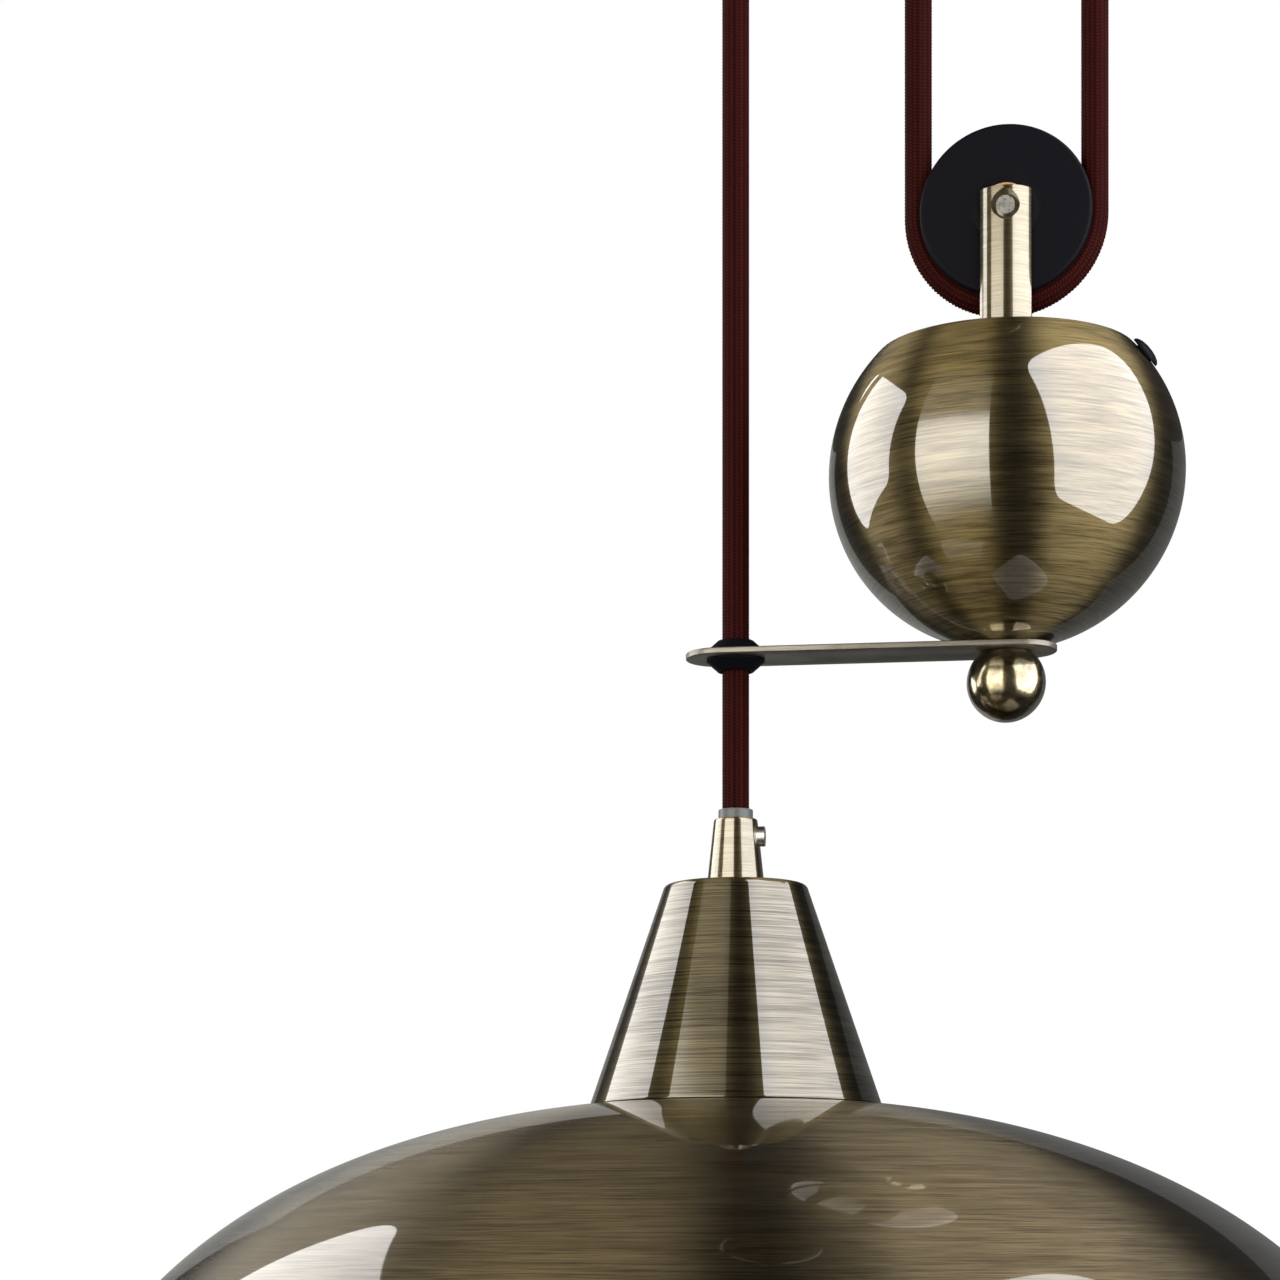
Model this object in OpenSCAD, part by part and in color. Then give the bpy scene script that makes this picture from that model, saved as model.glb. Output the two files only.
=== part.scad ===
// Rise and fall pendant lamp: a spun dome shade hangs on a braided cord that runs over
// a wheel in the ceiling canopy and is balanced by a ball counterweight on a second wheel.
// Millimetres. Origin: centre of the canopy on the ceiling. +Z is up, so everything
// hangs at negative Z. X runs along the guide arm, from the lamp to the counterweight.

/* [Hanging] */
// Ceiling to the axle of the counterweight's wheel
counterweight_drop = 427.2; // [400:1:500]
// Ceiling to the top of the cone cover
lamp_drop = 584.8; // [570:1:700]
// Lamp axis to counterweight axis, which is also the guide arm's hole spacing
arm_reach = 64.5; // [62:0.5:67]
// Diameter of the braided cord
cord_d = 6.5; // [5:0.5:7]

/* [Canopy] */
// Outer diameter of the canopy cup
canopy_d = 124; // [122:1:160]
// Height of the canopy cup
canopy_h = 56; // [55:1:80]
// Sheet thickness of the cup
cup_t = 1; // [0.8:0.1:1.5]
// Bend radius at the cup's lower edge
cup_bend_r = 7; // [4:0.5:10]
// Thickness of the ceiling plate
plate_t = 2; // [1.5:0.5:3]
// Spacing of the two ceiling slots
slot_spacing = 76; // [70:1:80]
// Width of a ceiling slot
slot_w = 4.6; // [4:0.1:5.5]
// Overall length of a ceiling slot
slot_len = 14; // [10:1:16]
// Diameter of the mains cable entry
cable_entry_d = 14; // [10:1:16]
// Ceiling to the axle of the canopy wheel
canopy_wheel_drop = 31; // [31:0.5:34]

/* [Wheels] */
// Diameter over the flanges of the counterweight's wheel
wheel_d = 40.5; // [39:0.5:43]
// Width of either wheel
wheel_w = 10; // [9.5:0.5:12]
// Depth of the cord groove
groove_depth = 3; // [2:0.25:4]
// Diameter of either axle
axle_d = 6; // [5:0.5:7]
// Thickness of a thrust washer
washer_t = 0.5; // [0.4:0.1:1]

/* [Counterweight] */
// Widest diameter of the ball
ball_d = 84; // [80:1:90]
// Height the ball would have if its top were not cut off
ball_h = 82; // [78:1:88]
// Ball centre up to the cut rim
rim_lift = 28.2; // [25:0.5:29]
// Sheet thickness of the ball
ball_t = 1.2; // [1:0.1:1.6]
// Thickness of the lid in the ball's cut top
lid_t = 1.5; // [1:0.1:2]
// Wheel axle down to the ball centre
ball_below_axle = 61.4; // [57:0.5:66]
// Width of a fork leg
fork_w = 12; // [10:0.5:13]
// Thickness of a fork leg at its middle
fork_t = 3.2; // [2.8:0.1:4]
// Fork leg above the axle
fork_over_axle = 4.4; // [4:0.2:6]
// Diameter of the block that joins the fork's legs
fork_base_d = 40; // [32:1:44]
// Thickness of that block
fork_base_t = 8; // [6:0.5:10]
// Diameter of the centre stud
stud_d = 6; // [5:0.5:8]
// Diameter of the filler plug's head
plug_d = 8; // [7:0.5:9]
// Centre of the filler plug below the ball's cut rim
plug_below_rim = 4.3; // [4.3:0.1:8]
// Turn of the filler plug from the arm's line
plug_turn = -15; // [-60:1:60]

/* [Guide arm] */
// Width of the strap
arm_w = 17.5; // [17:0.25:22]
// Thickness of the strap
arm_t = 1.5; // [1.2:0.1:2.5]
// Diameter of the eye that holds the cord's bush
arm_eye_d = 11.4; // [10:0.1:14]
// Strap beyond each hole's centre
arm_overhang = 12; // [11:0.25:15]
// Diameter of the finial ball
finial_d = 18.7; // [16:0.1:22]
// Finial centre down from its flat top
finial_flat = 7.2; // [6:0.1:7.5]

/* [Cord grip] */
// Top diameter of the tapered grip body
grip_top_d = 10.4; // [10.4:0.1:12]
// Bottom diameter of the grip body
grip_base_d = 13.8; // [13:0.1:16]
// Height of the grip body
grip_h = 15.8; // [15:0.1:18]
// Length of the plastic sleeve above the body
sleeve_proud = 2.3; // [1:0.1:4]
// Head diameter of the side screw
grip_screw_d = 4.8; // [4:0.1:5.5]
// Outer diameter of the threaded nipple
nipple_d = 10; // [9.8:0.1:10]

/* [Cone cover] */
// Top diameter of the cone
cone_top_d = 34; // [32:0.5:38]
// Base diameter of the cone
cone_base_d = 70; // [66:0.5:80]
// Height of the cone
cone_h = 52.8; // [52:0.1:58]
// Sheet thickness of the cone
cone_t = 1; // [0.8:0.1:1.2]
// Rounding of the cone's top edge
cone_round = 1.6; // [1:0.1:2]

/* [Lampholder] */
// Outer diameter of the lampholder's threaded skirt
skirt_d = 39.8; // [39:0.1:41]
// Inner diameter of the screw shell that takes the bulb
screw_shell_d = 26.4; // [26:0.1:27]
// Depth of the screw shell
screw_shell_h = 26; // [22:0.5:27]
// Skirt below the shade
skirt_below = 20; // [16:0.5:24]
// Outer diameter of the shade ring
shade_ring_d = 56; // [50:1:58]
// Height of the shade ring
shade_ring_h = 7; // [5:0.5:9]

/* [Shade] */
// Diameter of the dome
shade_d = 333; // [280:1:400]
// Height of the dome
shade_h = 119; // [100:1:150]
// Fullness of the dome's shoulder: 2 is an ellipse, more is squarer
shade_power = 2.25; // [2:0.05:2.6]
// Sheet thickness of the dome
shade_t = 0.7; // [0.6:0.1:1.2]
// Diameter of the rolled rim bead
bead_d = 4.4; // [3:0.2:6]

/* [Hidden] */
$fn = 96;

// Clearances
cord_clear = 0.35;       // round a cord in a hole
groove_clear = 0.3;      // between a cord and its groove
run_clear = 0.05;        // axle in a bush
press_clear = 0.02;      // pieces fixed in each other
side_clear = 0.2;        // wheel to thrust washer
fit_clear = 0.3;         // loose seats

cord_r = cord_d / 2;
wheel_r = wheel_d / 2;
pitch_r = wheel_r - groove_depth + groove_clear + cord_r;

// Plan positions: the three runs of cord lie evenly about the canopy's centre
lamp_x = -(arm_reach + pitch_r) / 2;
weight_x = lamp_x + arm_reach;
near_x = weight_x - pitch_r;
far_x = weight_x + pitch_r;
canopy_wheel_x = (lamp_x + near_x) / 2;
canopy_pitch_r = (near_x - lamp_x) / 2;
canopy_wheel_r = canopy_pitch_r - cord_r - groove_clear + groove_depth;
canopy_wheel_z = -canopy_wheel_drop;

// Canopy
canopy_r = canopy_d / 2;
cup_top_z = -0.4;
plate_edge = 6;          // plate's edge inside the cup's outside
plate_r = canopy_r - plate_edge;
ear_w = 12;
ear_t = 2;
ear_h = 16;
ear_root = 8;            // ear's foot inside the plate's edge
ear_out = sqrt(pow(canopy_r - cup_t, 2) - pow(ear_w / 2, 2)) - fit_clear;
ear_screw_z = -10;
ear_screw_r = 2;
ear_screw_head_r = 4.5;
ear_screw_head_t = 3;
cheek_gap = wheel_w / 2 + side_clear + washer_t;
cheek_t = 2;
cheek_w = 16;
web_t = 1.5;
web_l = 44;
rivet_spread = 18;
rivet_r = 1.5;
rivet_head_r = 3;
rivet_head_t = 1.4;
axle_r = axle_d / 2;
axle_head_r = axle_r + 1.5;
axle_head_t = 1.5;
clip_t = 1;
clip_inset = 0.6;        // clip groove depth in the axle
bush_wall = 2;           // wheel bush wall
washer_wall = 3;
cable_entry_x = 24;
cable_entry_y = 22;
hole_bush_wall = 1.25;
hole_bush_r = cord_r + cord_clear + hole_bush_wall;
hole_bush_flange = 1.4;
hole_bush_flange_t = 1.6;
hole_bush_collar_t = 1.4;
anchor_post_x = far_x + cord_r + 3.6;
anchor_post_t = 3.5;
anchor_y = 6;
anchor_eye_top = canopy_wheel_z;
anchor_eye_h = 9;
anchor_eye_in = 7;       // eye block inside the cord's axis
anchor_foot_t = 2;
anchor_foot_l = 16;
anchor_screw_r = 2;
anchor_screw_head_r = 3.5;
anchor_screw_head_t = 2.2;
clamp_screw_r = 1.5;
clamp_screw_head_r = 2.75;
clamp_screw_head_t = 1.8;
tail_bend_r = 14;
tail_bend_z = anchor_eye_top + 3;
tail_top_z = tail_bend_z + tail_bend_r;
block_x = near_x + 7.5;
block_l = 14;
block_w = 26;
block_z = tail_top_z - 6;
block_entry = 3;
block_screw_r = 2;
block_screw_step = 8;
block_screw_in = 3;
earth_screw_x = 26;
earth_screw_y = -30;
screw_slot_w = 0.9;
screw_slot_t = 0.8;

// Counterweight
weight_axle_z = -counterweight_drop;
ball_z = weight_axle_z - ball_below_axle;
ball_a = ball_d / 2;
ball_b = ball_h / 2;
ball_flat = 0.4;         // cut from the ball's bottom for the strap to seat on
ball_steps = 40;
rim_angle = asin(rim_lift / ball_b);
foot_angle = asin((ball_flat - ball_b) / ball_b);
lid_recess = 0.4;
lid_top_z = ball_z + rim_lift - lid_recess;
leg_y = cheek_gap;
leg_curve_r = (pow(fork_w / 2, 2) + pow(fork_t, 2)) / (2 * fork_t);
fork_base_top_z = lid_top_z - lid_t - 0.1;
fork_base_z = fork_base_top_z - fork_base_t;
recess_r = 3.35;
recess_t = 1.8;
recess_bevel = 0.35;
axle_screw_r = 1.5;
axle_screw_head_r = 2.2;
axle_screw_head_t = 1;
cross_w = 0.8;
cross_l = 2.8;
cross_t = 0.6;
stud_r = stud_d / 2;
strap_top_z = ball_z - ball_b + ball_flat;
finial_top_z = strap_top_z - arm_t;
finial_z = finial_top_z - finial_flat;
finial_thread = 9;
stud_end_z = finial_top_z - finial_thread + 1;
eye_r = arm_eye_d / 2;
eye_bush_lip = 1.25;     // bush's flanges beyond the eye
eye_bush_edge = 0.5;
eye_bush_h = 2.9;        // flange and its cone, above and below the strap
eye_bush_wall = 0.7;     // at the mouths
plug_r = plug_d / 2;
plug_dome = 1.7;
plug_shank_r = plug_r - 1.6;
plug_shank_l = ball_t - 0.1;
plug_lift = atan(rim_lift / (ball_a * cos(rim_angle))) - asin(plug_below_rim / ball_a);
plug_seat = ball_a * ball_b / norm([ball_b * cos(plug_lift), ball_a * sin(plug_lift)]);

// Lamp
cone_top_z = -lamp_drop;
cone_base_z = cone_top_z - cone_h;
cone_r = cone_base_d / 2;
cone_top_r = cone_top_d / 2;
cone_slope = atan((cone_r - cone_top_r) / cone_h);
nipple_r = nipple_d / 2;
nipple_wall = 1;
nipple_up = 6.5;         // thread inside the grip body
nipple_in_cap = 6;       // thread in the lampholder cap
sleeve_wall = 0.55;
sleeve_r = cord_r + cord_clear + sleeve_wall;
sleeve_in = 8.5;         // sleeve inside the body
grip_top_z = cone_top_z + grip_h;
grip_screw_up = 11.6;    // side screw above the cone's top
grip_screw_z = cone_top_z + grip_screw_up;
grip_screw_r = 1.5;
grip_screw_seat = (grip_base_d + (grip_top_d - grip_base_d) * grip_screw_up / grip_h) / 2 - 0.5;
grip_screw_head_t = 1.9;
grip_chamfer = 0.6;
grip_bore_r = sleeve_r + press_clear;
nut_af = 14;
nut_t = 3;
land_r = 30;
shade_r = shade_d / 2;
shade_steps = 34;
apex_z = cone_base_z + dome_drop(cone_r - cone_t, shade_r, shade_h) - press_clear;
land_z = apex_z - dome_drop(land_r, shade_r, shade_h);
skirt_r = skirt_d / 2;
skirt_wall = 2.4;
skirt_up = 22;
flange_r = 24;
flange_t = 2;
cap_h = 19;
cap_top_r = 9;
cap_wall = 1.6;
cap_base_z = land_z + skirt_up;
cap_top_z = cap_base_z + cap_h;
insert_r = skirt_r - skirt_wall - press_clear;
shell_r = screw_shell_d / 2;
shell_t = 0.5;
contact_room = 1.2;      // bore above the shell, for the centre contact
insert_bore_r = shell_r + shell_t + press_clear;
shell_top_z = land_z - skirt_below + 3 + screw_shell_h;
insert_top_z = shell_top_z + 8;
insert_foot_z = land_z - skirt_below + 1.5;
contact_r = 4;
contact_t = 0.8;
contact_post_r = 1.5;
contact_z = shell_top_z + contact_room - contact_t - press_clear;
terminal_y = 8;
terminal_r = 2.6;
terminal_h = 4;
lead_r = 1.2;
lead_spread = 1.5;       // leads' distance from the axis where they leave the cord
cord_end_z = cap_top_z - nipple_in_cap - 2;
fn_hex = 6;

// Routes of the cord, along its middle
tube_sides = 12;
arc_step = 15;
run_rings = 14;
lamp_rings = 18;
cord_split_z = canopy_wheel_z - 0.5;
canopy_route = concat(
    [[lamp_x, 0, cord_split_z]],
    [for (a = [0 : arc_step : 180])
        [canopy_wheel_x - canopy_pitch_r * cos(a), 0, canopy_wheel_z + canopy_pitch_r * sin(a)]],
    [[near_x, 0, cord_split_z]]);
lamp_route = [for (i = [0 : lamp_rings])
    [lamp_x, 0, cord_split_z + (cord_end_z - cord_split_z) * i / lamp_rings]];
weight_route = concat(
    [for (i = [0 : run_rings - 1])
        [near_x, 0, cord_split_z + (weight_axle_z - cord_split_z) * i / run_rings]],
    [for (a = [0 : arc_step : 180])
        [weight_x - pitch_r * cos(a), 0, weight_axle_z - pitch_r * sin(a)]],
    [for (i = [1 : run_rings])
        [far_x, 0, weight_axle_z + (cord_split_z - weight_axle_z) * i / run_rings]]);
tail_route = concat(
    [[far_x, 0, cord_split_z]],
    [for (a = [0 : arc_step : 90])
        [far_x - tail_bend_r + tail_bend_r * cos(a), 0, tail_bend_z + tail_bend_r * sin(a)]],
    [[block_x + block_l - block_entry + 0.4, 0, tail_top_z]]);
lead_top_z = cord_end_z - press_clear;
lead_foot_z = insert_top_z + terminal_h + press_clear;
lead_route = [
    [lead_spread, 0, lead_top_z],
    [lead_spread, 0, lead_top_z - 2],
    [terminal_y, 0, lead_foot_z + 3],
    [terminal_y, 0, lead_foot_z]];

// Drop of the dome's surface below its apex at radius r
function dome_drop(r, a, h) = h * (1 - pow(1 - pow(min(r / a, 1), shade_power), 1 / shade_power));

// Radii that crowd towards the dome's rim, where it turns steep
function dome_radius(i, a) = land_r + (a - land_r) * sin(90 * i / shade_steps);

function ellipse_point(a, b, t) = [a * cos(t), b * sin(t)];

// Rings of a tube that follows a route in the XZ plane
function route_heading(route, i) =
    let (p = route[max(i - 1, 0)], q = route[min(i + 1, len(route) - 1)], d = q - p) d / norm(d);
function tube_points(route, r) = [
    for (i = [0 : len(route) - 1])
        let (d = route_heading(route, i), side = [d[2], 0, -d[0]])
            for (k = [0 : tube_sides - 1])
                let (t = 360 * k / tube_sides)
                    route[i] + r * cos(t) * side + r * sin(t) * [0, 1, 0]];
function tube_faces(rings) = concat(
    [[for (k = [0 : tube_sides - 1]) k]],
    [for (i = [0 : rings - 2]) for (k = [0 : tube_sides - 1])
        let (a = i * tube_sides + k, b = i * tube_sides + (k + 1) % tube_sides)
            [a, a + tube_sides, b + tube_sides, b]],
    [[for (k = [tube_sides - 1 : -1 : 0]) (rings - 1) * tube_sides + k]]);

// Repeated shapes

module tube(route, r) {
    polyhedron(tube_points(route, r), tube_faces(len(route)), convexity = 6);
}

module ring(outer_r, inner_r, h) {
    difference() {
        cylinder(r = outer_r, h = h);
        translate([0, 0, -1]) cylinder(r = inner_r, h = h + 2);
    }
}

// Cylinder along Y from y to y + l
module along_y(r, y, l) {
    translate([0, y + l, 0]) rotate([90, 0, 0]) cylinder(r = r, h = l);
}

// Grooved wheel on the Y axis
module grooved_wheel(outer_r, groove_pitch_r, bore_r) {
    rotate([90, 0, 0])
        rotate_extrude()
            difference() {
                translate([bore_r, -wheel_w / 2]) square([outer_r - bore_r, wheel_w]);
                translate([groove_pitch_r, 0]) circle(r = cord_r + groove_clear);
            }
}

// Bronze bush on the Y axis, as wide as the wheel
module wheel_bush() {
    rotate([90, 0, 0])
        translate([0, 0, -wheel_w / 2])
            ring(axle_r + bush_wall, axle_r + run_clear, wheel_w);
}

// Thrust washers on both sides of a wheel
module thrust_washers() {
    for (side = [-1, 1])
        translate([0, side * (wheel_w / 2 + side_clear + washer_t / 2), 0])
            rotate([90, 0, 0])
                translate([0, 0, -washer_t / 2])
                    ring(axle_r + washer_wall, axle_r + run_clear, washer_t);
}

// Slotted screw head and shank, head up, seat at z = 0
module slotted_screw(head_r, head_t, shank_r, shank_l) {
    difference() {
        cylinder(r = head_r, h = head_t);
        translate([-head_r - 1, -screw_slot_w / 2, head_t - screw_slot_t])
            cube([2 * head_r + 2, screw_slot_w, screw_slot_t + 1]);
    }
    translate([0, 0, -shank_l]) cylinder(r = shank_r, h = shank_l);
}

// Canopy

// Slot that runs along Y, about its middle at y
module ceiling_slot(y) {
    half = (slot_len - slot_w) / 2;
    translate([0, y, -plate_t - 1]) {
        for (shift = [-half, half])
            translate([0, shift, 0]) cylinder(d = slot_w, h = plate_t + 2);
        translate([-slot_w / 2, -half, 0]) cube([slot_w, 2 * half, plate_t + 2]);
    }
}

module ceiling_plate() {
    color("lightgray")
        difference() {
            translate([0, 0, -plate_t]) cylinder(r = plate_r, h = plate_t);
            for (y = [-slot_spacing / 2, slot_spacing / 2]) ceiling_slot(y);
            translate([cable_entry_x, cable_entry_y, -plate_t - 1])
                cylinder(d = cable_entry_d, h = plate_t + 2);
            for (x = [-rivet_spread, rivet_spread])
                translate([canopy_wheel_x + x, 0, -plate_t - 1])
                    cylinder(r = rivet_r + press_clear, h = plate_t + 2);
            translate([far_x, 0, -plate_t - 1])
                cylinder(r = anchor_screw_r + press_clear, h = plate_t + 2);
            translate([earth_screw_x, earth_screw_y, -plate_t - 1])
                cylinder(r = anchor_screw_r + press_clear, h = plate_t + 2);
        }
}

// Angle brackets, welded under the plate, that take the cup's side screws
module plate_ears() {
    foot_in = plate_r - ear_root;
    color("lightgray")
        for (turn = [0, 180])
            rotate([0, 0, turn])
                difference() {
                    union() {
                        translate([-ear_w / 2, foot_in, -plate_t - ear_t])
                            cube([ear_w, ear_out - foot_in, ear_t]);
                        translate([-ear_w / 2, ear_out - ear_t, -ear_h])
                            cube([ear_w, ear_t, ear_h - plate_t]);
                    }
                    translate([0, 0, ear_screw_z])
                        along_y(ear_screw_r + press_clear, ear_out - ear_t - 1, ear_t + 2);
                }
}

module wheel_hanger() {
    bore_y = cheek_gap + cheek_t + 1;
    color("lightgray")
        translate([canopy_wheel_x, 0, 0])
            difference() {
                union() {
                    translate([-web_l / 2, -cheek_gap - cheek_t, -plate_t - web_t])
                        cube([web_l, 2 * (cheek_gap + cheek_t), web_t]);
                    for (y = [-cheek_gap - cheek_t, cheek_gap]) {
                        translate([-cheek_w / 2, y, canopy_wheel_z])
                            cube([cheek_w, cheek_t, canopy_wheel_drop - plate_t]);
                        translate([0, 0, canopy_wheel_z]) along_y(cheek_w / 2, y, cheek_t);
                    }
                }
                translate([0, 0, canopy_wheel_z])
                    along_y(axle_r + press_clear, -bore_y, 2 * bore_y);
                for (x = [-rivet_spread, rivet_spread])
                    translate([x, 0, -plate_t - web_t - 1])
                        cylinder(r = rivet_r + press_clear, h = web_t + 2);
            }
}

module hanger_rivets() {
    color("silver")
        for (x = [-rivet_spread, rivet_spread])
            translate([canopy_wheel_x + x, 0, 0]) {
                translate([0, 0, -plate_t - web_t]) cylinder(r = rivet_r, h = plate_t + web_t);
                translate([0, 0, -plate_t - web_t - rivet_head_t])
                    cylinder(r = rivet_head_r, h = rivet_head_t);
            }
}

module canopy_axle() {
    reach = cheek_gap + cheek_t;
    color("silver")
        translate([canopy_wheel_x, 0, canopy_wheel_z])
            difference() {
                union() {
                    along_y(axle_r, -reach, 2 * reach + clip_t + 1.2);
                    along_y(axle_head_r, -reach - axle_head_t, axle_head_t);
                }
                difference() {
                    along_y(axle_r + 1, reach + 0.1, clip_t);
                    along_y(axle_r - clip_inset, reach, clip_t + 1);
                }
            }
}

module axle_clip() {
    reach = cheek_gap + cheek_t;
    mouth = 2 * (axle_r - clip_inset) - 0.6;
    color("dimgray")
        translate([canopy_wheel_x, reach + 0.1 + clip_t - press_clear, canopy_wheel_z])
            rotate([90, 0, 0])
                difference() {
                    ring(axle_head_r, axle_r - clip_inset + press_clear, clip_t - 2 * press_clear);
                    translate([-mouth / 2, -axle_head_r - 1, -1]) cube([mouth, axle_head_r + 1, clip_t + 2]);
                }
}

module canopy_washers() {
    color("goldenrod")
        translate([canopy_wheel_x, 0, canopy_wheel_z]) thrust_washers();
}

module canopy_wheel() {
    color([0.09, 0.09, 0.1])
        translate([canopy_wheel_x, 0, canopy_wheel_z])
            grooved_wheel(canopy_wheel_r, canopy_pitch_r, axle_r + bush_wall + press_clear);
}

module canopy_wheel_bush() {
    color("peru")
        translate([canopy_wheel_x, 0, canopy_wheel_z]) wheel_bush();
}

module canopy_cup() {
    inner_bend = max(cup_bend_r - cup_t, 0.5);
    floor_z = -canopy_h;
    color([0.62, 0.52, 0.32])
        difference() {
            rotate_extrude()
                difference() {
                    union() {
                        translate([0, floor_z + cup_bend_r])
                            square([canopy_r, canopy_h - cup_bend_r + cup_top_z]);
                        translate([0, floor_z]) square([canopy_r - cup_bend_r, cup_bend_r + 1]);
                        intersection() {
                            translate([canopy_r - cup_bend_r, floor_z + cup_bend_r])
                                circle(r = cup_bend_r);
                            translate([0, floor_z]) square([canopy_r, canopy_h]);
                        }
                    }
                    translate([-1, floor_z + cup_t + inner_bend])
                        square([canopy_r - cup_t + 1, canopy_h]);
                    translate([-1, floor_z + cup_t])
                        square([canopy_r - cup_t - inner_bend + 1, canopy_h]);
                    translate([canopy_r - cup_t - inner_bend, floor_z + cup_t + inner_bend])
                        circle(r = inner_bend);
                }
            for (x = [lamp_x, near_x, far_x])
                translate([x, 0, floor_z - 1]) cylinder(r = hole_bush_r + press_clear, h = cup_t + 3);
            for (side = [-1, 1])
                translate([0, side * (canopy_r - cup_t - 2), ear_screw_z])
                    rotate([-side * 90, 0, 0]) cylinder(r = ear_screw_r + 0.15, h = cup_t + 4);
        }
}

module canopy_screws() {
    color([0.62, 0.52, 0.32])
        for (side = [-1, 1])
            translate([0, side * (canopy_r + run_clear), ear_screw_z])
                rotate([-side * 90, 0, 0])
                    slotted_screw(ear_screw_head_r, ear_screw_head_t, ear_screw_r,
                        canopy_r + run_clear - ear_out + ear_t + 1.5);
}

module cord_bushes() {
    floor_z = -canopy_h;
    bore_r = cord_r + cord_clear;
    flange_r = hole_bush_r + hole_bush_flange;
    color([0.12, 0.11, 0.11])
        for (x = [lamp_x, near_x, far_x])
            translate([x, 0, floor_z])
                difference() {
                    union() {
                        cylinder(r = hole_bush_r, h = cup_t);
                        translate([0, 0, cup_t + press_clear])
                            cylinder(r = hole_bush_r + 0.6, h = hole_bush_collar_t);
                        translate([0, 0, -hole_bush_flange_t])
                            cylinder(r1 = flange_r - 0.6, r2 = flange_r, h = hole_bush_flange_t - press_clear);
                        translate([0, 0, -hole_bush_flange_t / 2])
                            cylinder(r = hole_bush_r, h = hole_bush_flange_t + cup_t);
                    }
                    translate([0, 0, -hole_bush_flange_t - 1])
                        cylinder(r = bore_r, h = cup_t + hole_bush_collar_t + hole_bush_flange_t + 3);
                }
}

module cord_anchor() {
    post_h = -plate_t - anchor_eye_top + anchor_eye_h;
    eye_foot_z = anchor_eye_top - anchor_eye_h;
    color("lightgray")
        difference() {
            union() {
                translate([anchor_post_x, -anchor_y, eye_foot_z])
                    cube([anchor_post_t, 2 * anchor_y, post_h]);
                translate([far_x - anchor_eye_in, -anchor_y, eye_foot_z])
                    cube([anchor_post_x - far_x + anchor_eye_in + 1, 2 * anchor_y, anchor_eye_h]);
                translate([anchor_post_x + anchor_post_t - anchor_foot_l, -anchor_y,
                    -plate_t - anchor_foot_t])
                    cube([anchor_foot_l, 2 * anchor_y, anchor_foot_t]);
            }
            translate([far_x, 0, eye_foot_z - 1])
                cylinder(r = cord_r + cord_clear, h = anchor_eye_h + 2);
            translate([far_x, 0, -plate_t - anchor_foot_t - 1])
                cylinder(r = anchor_screw_r + press_clear, h = anchor_foot_t + 2);
            translate([far_x, 0, anchor_eye_top - anchor_eye_h / 2])
                along_y(clamp_screw_r + press_clear, -anchor_y - 1, anchor_y + 1);
        }
}

module anchor_screws() {
    color("silver") {
        translate([far_x, 0, -plate_t - anchor_foot_t])
            rotate([180, 0, 0])
                slotted_screw(anchor_screw_head_r, anchor_screw_head_t, anchor_screw_r,
                    plate_t + anchor_foot_t);
        translate([far_x, -anchor_y, anchor_eye_top - anchor_eye_h / 2])
            rotate([90, 0, 0])
                slotted_screw(clamp_screw_head_r, clamp_screw_head_t, clamp_screw_r,
                    anchor_y - cord_r - fit_clear);
    }
}

module terminal_block() {
    foot_z = block_z;
    color("whitesmoke")
        difference() {
            translate([block_x, -block_w / 2, foot_z])
                cube([block_l, block_w, -plate_t - foot_z]);
            translate([block_x + block_l - block_entry, 0, tail_top_z])
                rotate([0, 90, 0]) cylinder(r = cord_r + cord_clear, h = block_entry + 1);
            for (y = [-block_screw_step, 0, block_screw_step])
                translate([block_x + block_l / 2 - 2, y, foot_z - 1])
                    cylinder(r = block_screw_r + press_clear, h = block_screw_in + 1);
        }
}

module terminal_screws() {
    color("goldenrod")
        for (y = [-block_screw_step, 0, block_screw_step])
            translate([block_x + block_l / 2 - 2, y, block_z + block_screw_in - press_clear])
                rotate([180, 0, 0])
                    difference() {
                        cylinder(r = block_screw_r, h = block_screw_in - 0.4);
                        translate([-block_screw_r - 1, -screw_slot_w / 2,
                            block_screw_in - 0.4 - screw_slot_t])
                            cube([2 * block_screw_r + 2, screw_slot_w, screw_slot_t + 1]);
                    }
}

module earth_screw() {
    color("goldenrod")
        translate([earth_screw_x, earth_screw_y, -plate_t])
            rotate([180, 0, 0])
                slotted_screw(anchor_screw_head_r, anchor_screw_head_t, anchor_screw_r, plate_t);
}

// Cord

module canopy_cord() {
    color([0.2, 0.05, 0.06]) tube(canopy_route, cord_r);
}

module cord_tail() {
    color([0.2, 0.05, 0.06]) tube(tail_route, cord_r);
}

module lamp_cord() {
    color([0.2, 0.05, 0.06]) tube(lamp_route, cord_r);
}

module weight_cord() {
    color([0.2, 0.05, 0.06]) tube(weight_route, cord_r);
}

// Counterweight

module weight_wheel() {
    color([0.09, 0.09, 0.1])
        translate([weight_x, 0, weight_axle_z])
            grooved_wheel(wheel_r, pitch_r, axle_r + bush_wall + press_clear);
}

module weight_wheel_bush() {
    color("peru")
        translate([weight_x, 0, weight_axle_z]) wheel_bush();
}

// Leg with a flat inner side and a rounded outer side, grown by extra all round
module fork_leg(foot_z, top_z, extra) {
    intersection() {
        translate([0, leg_y + fork_t - leg_curve_r, foot_z])
            cylinder(r = leg_curve_r + extra, h = top_z - foot_z);
        translate([-fork_w / 2 - extra, leg_y - extra, foot_z])
            cube([fork_w + 2 * extra, fork_t + 2 * extra, top_z - foot_z]);
    }
}

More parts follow.
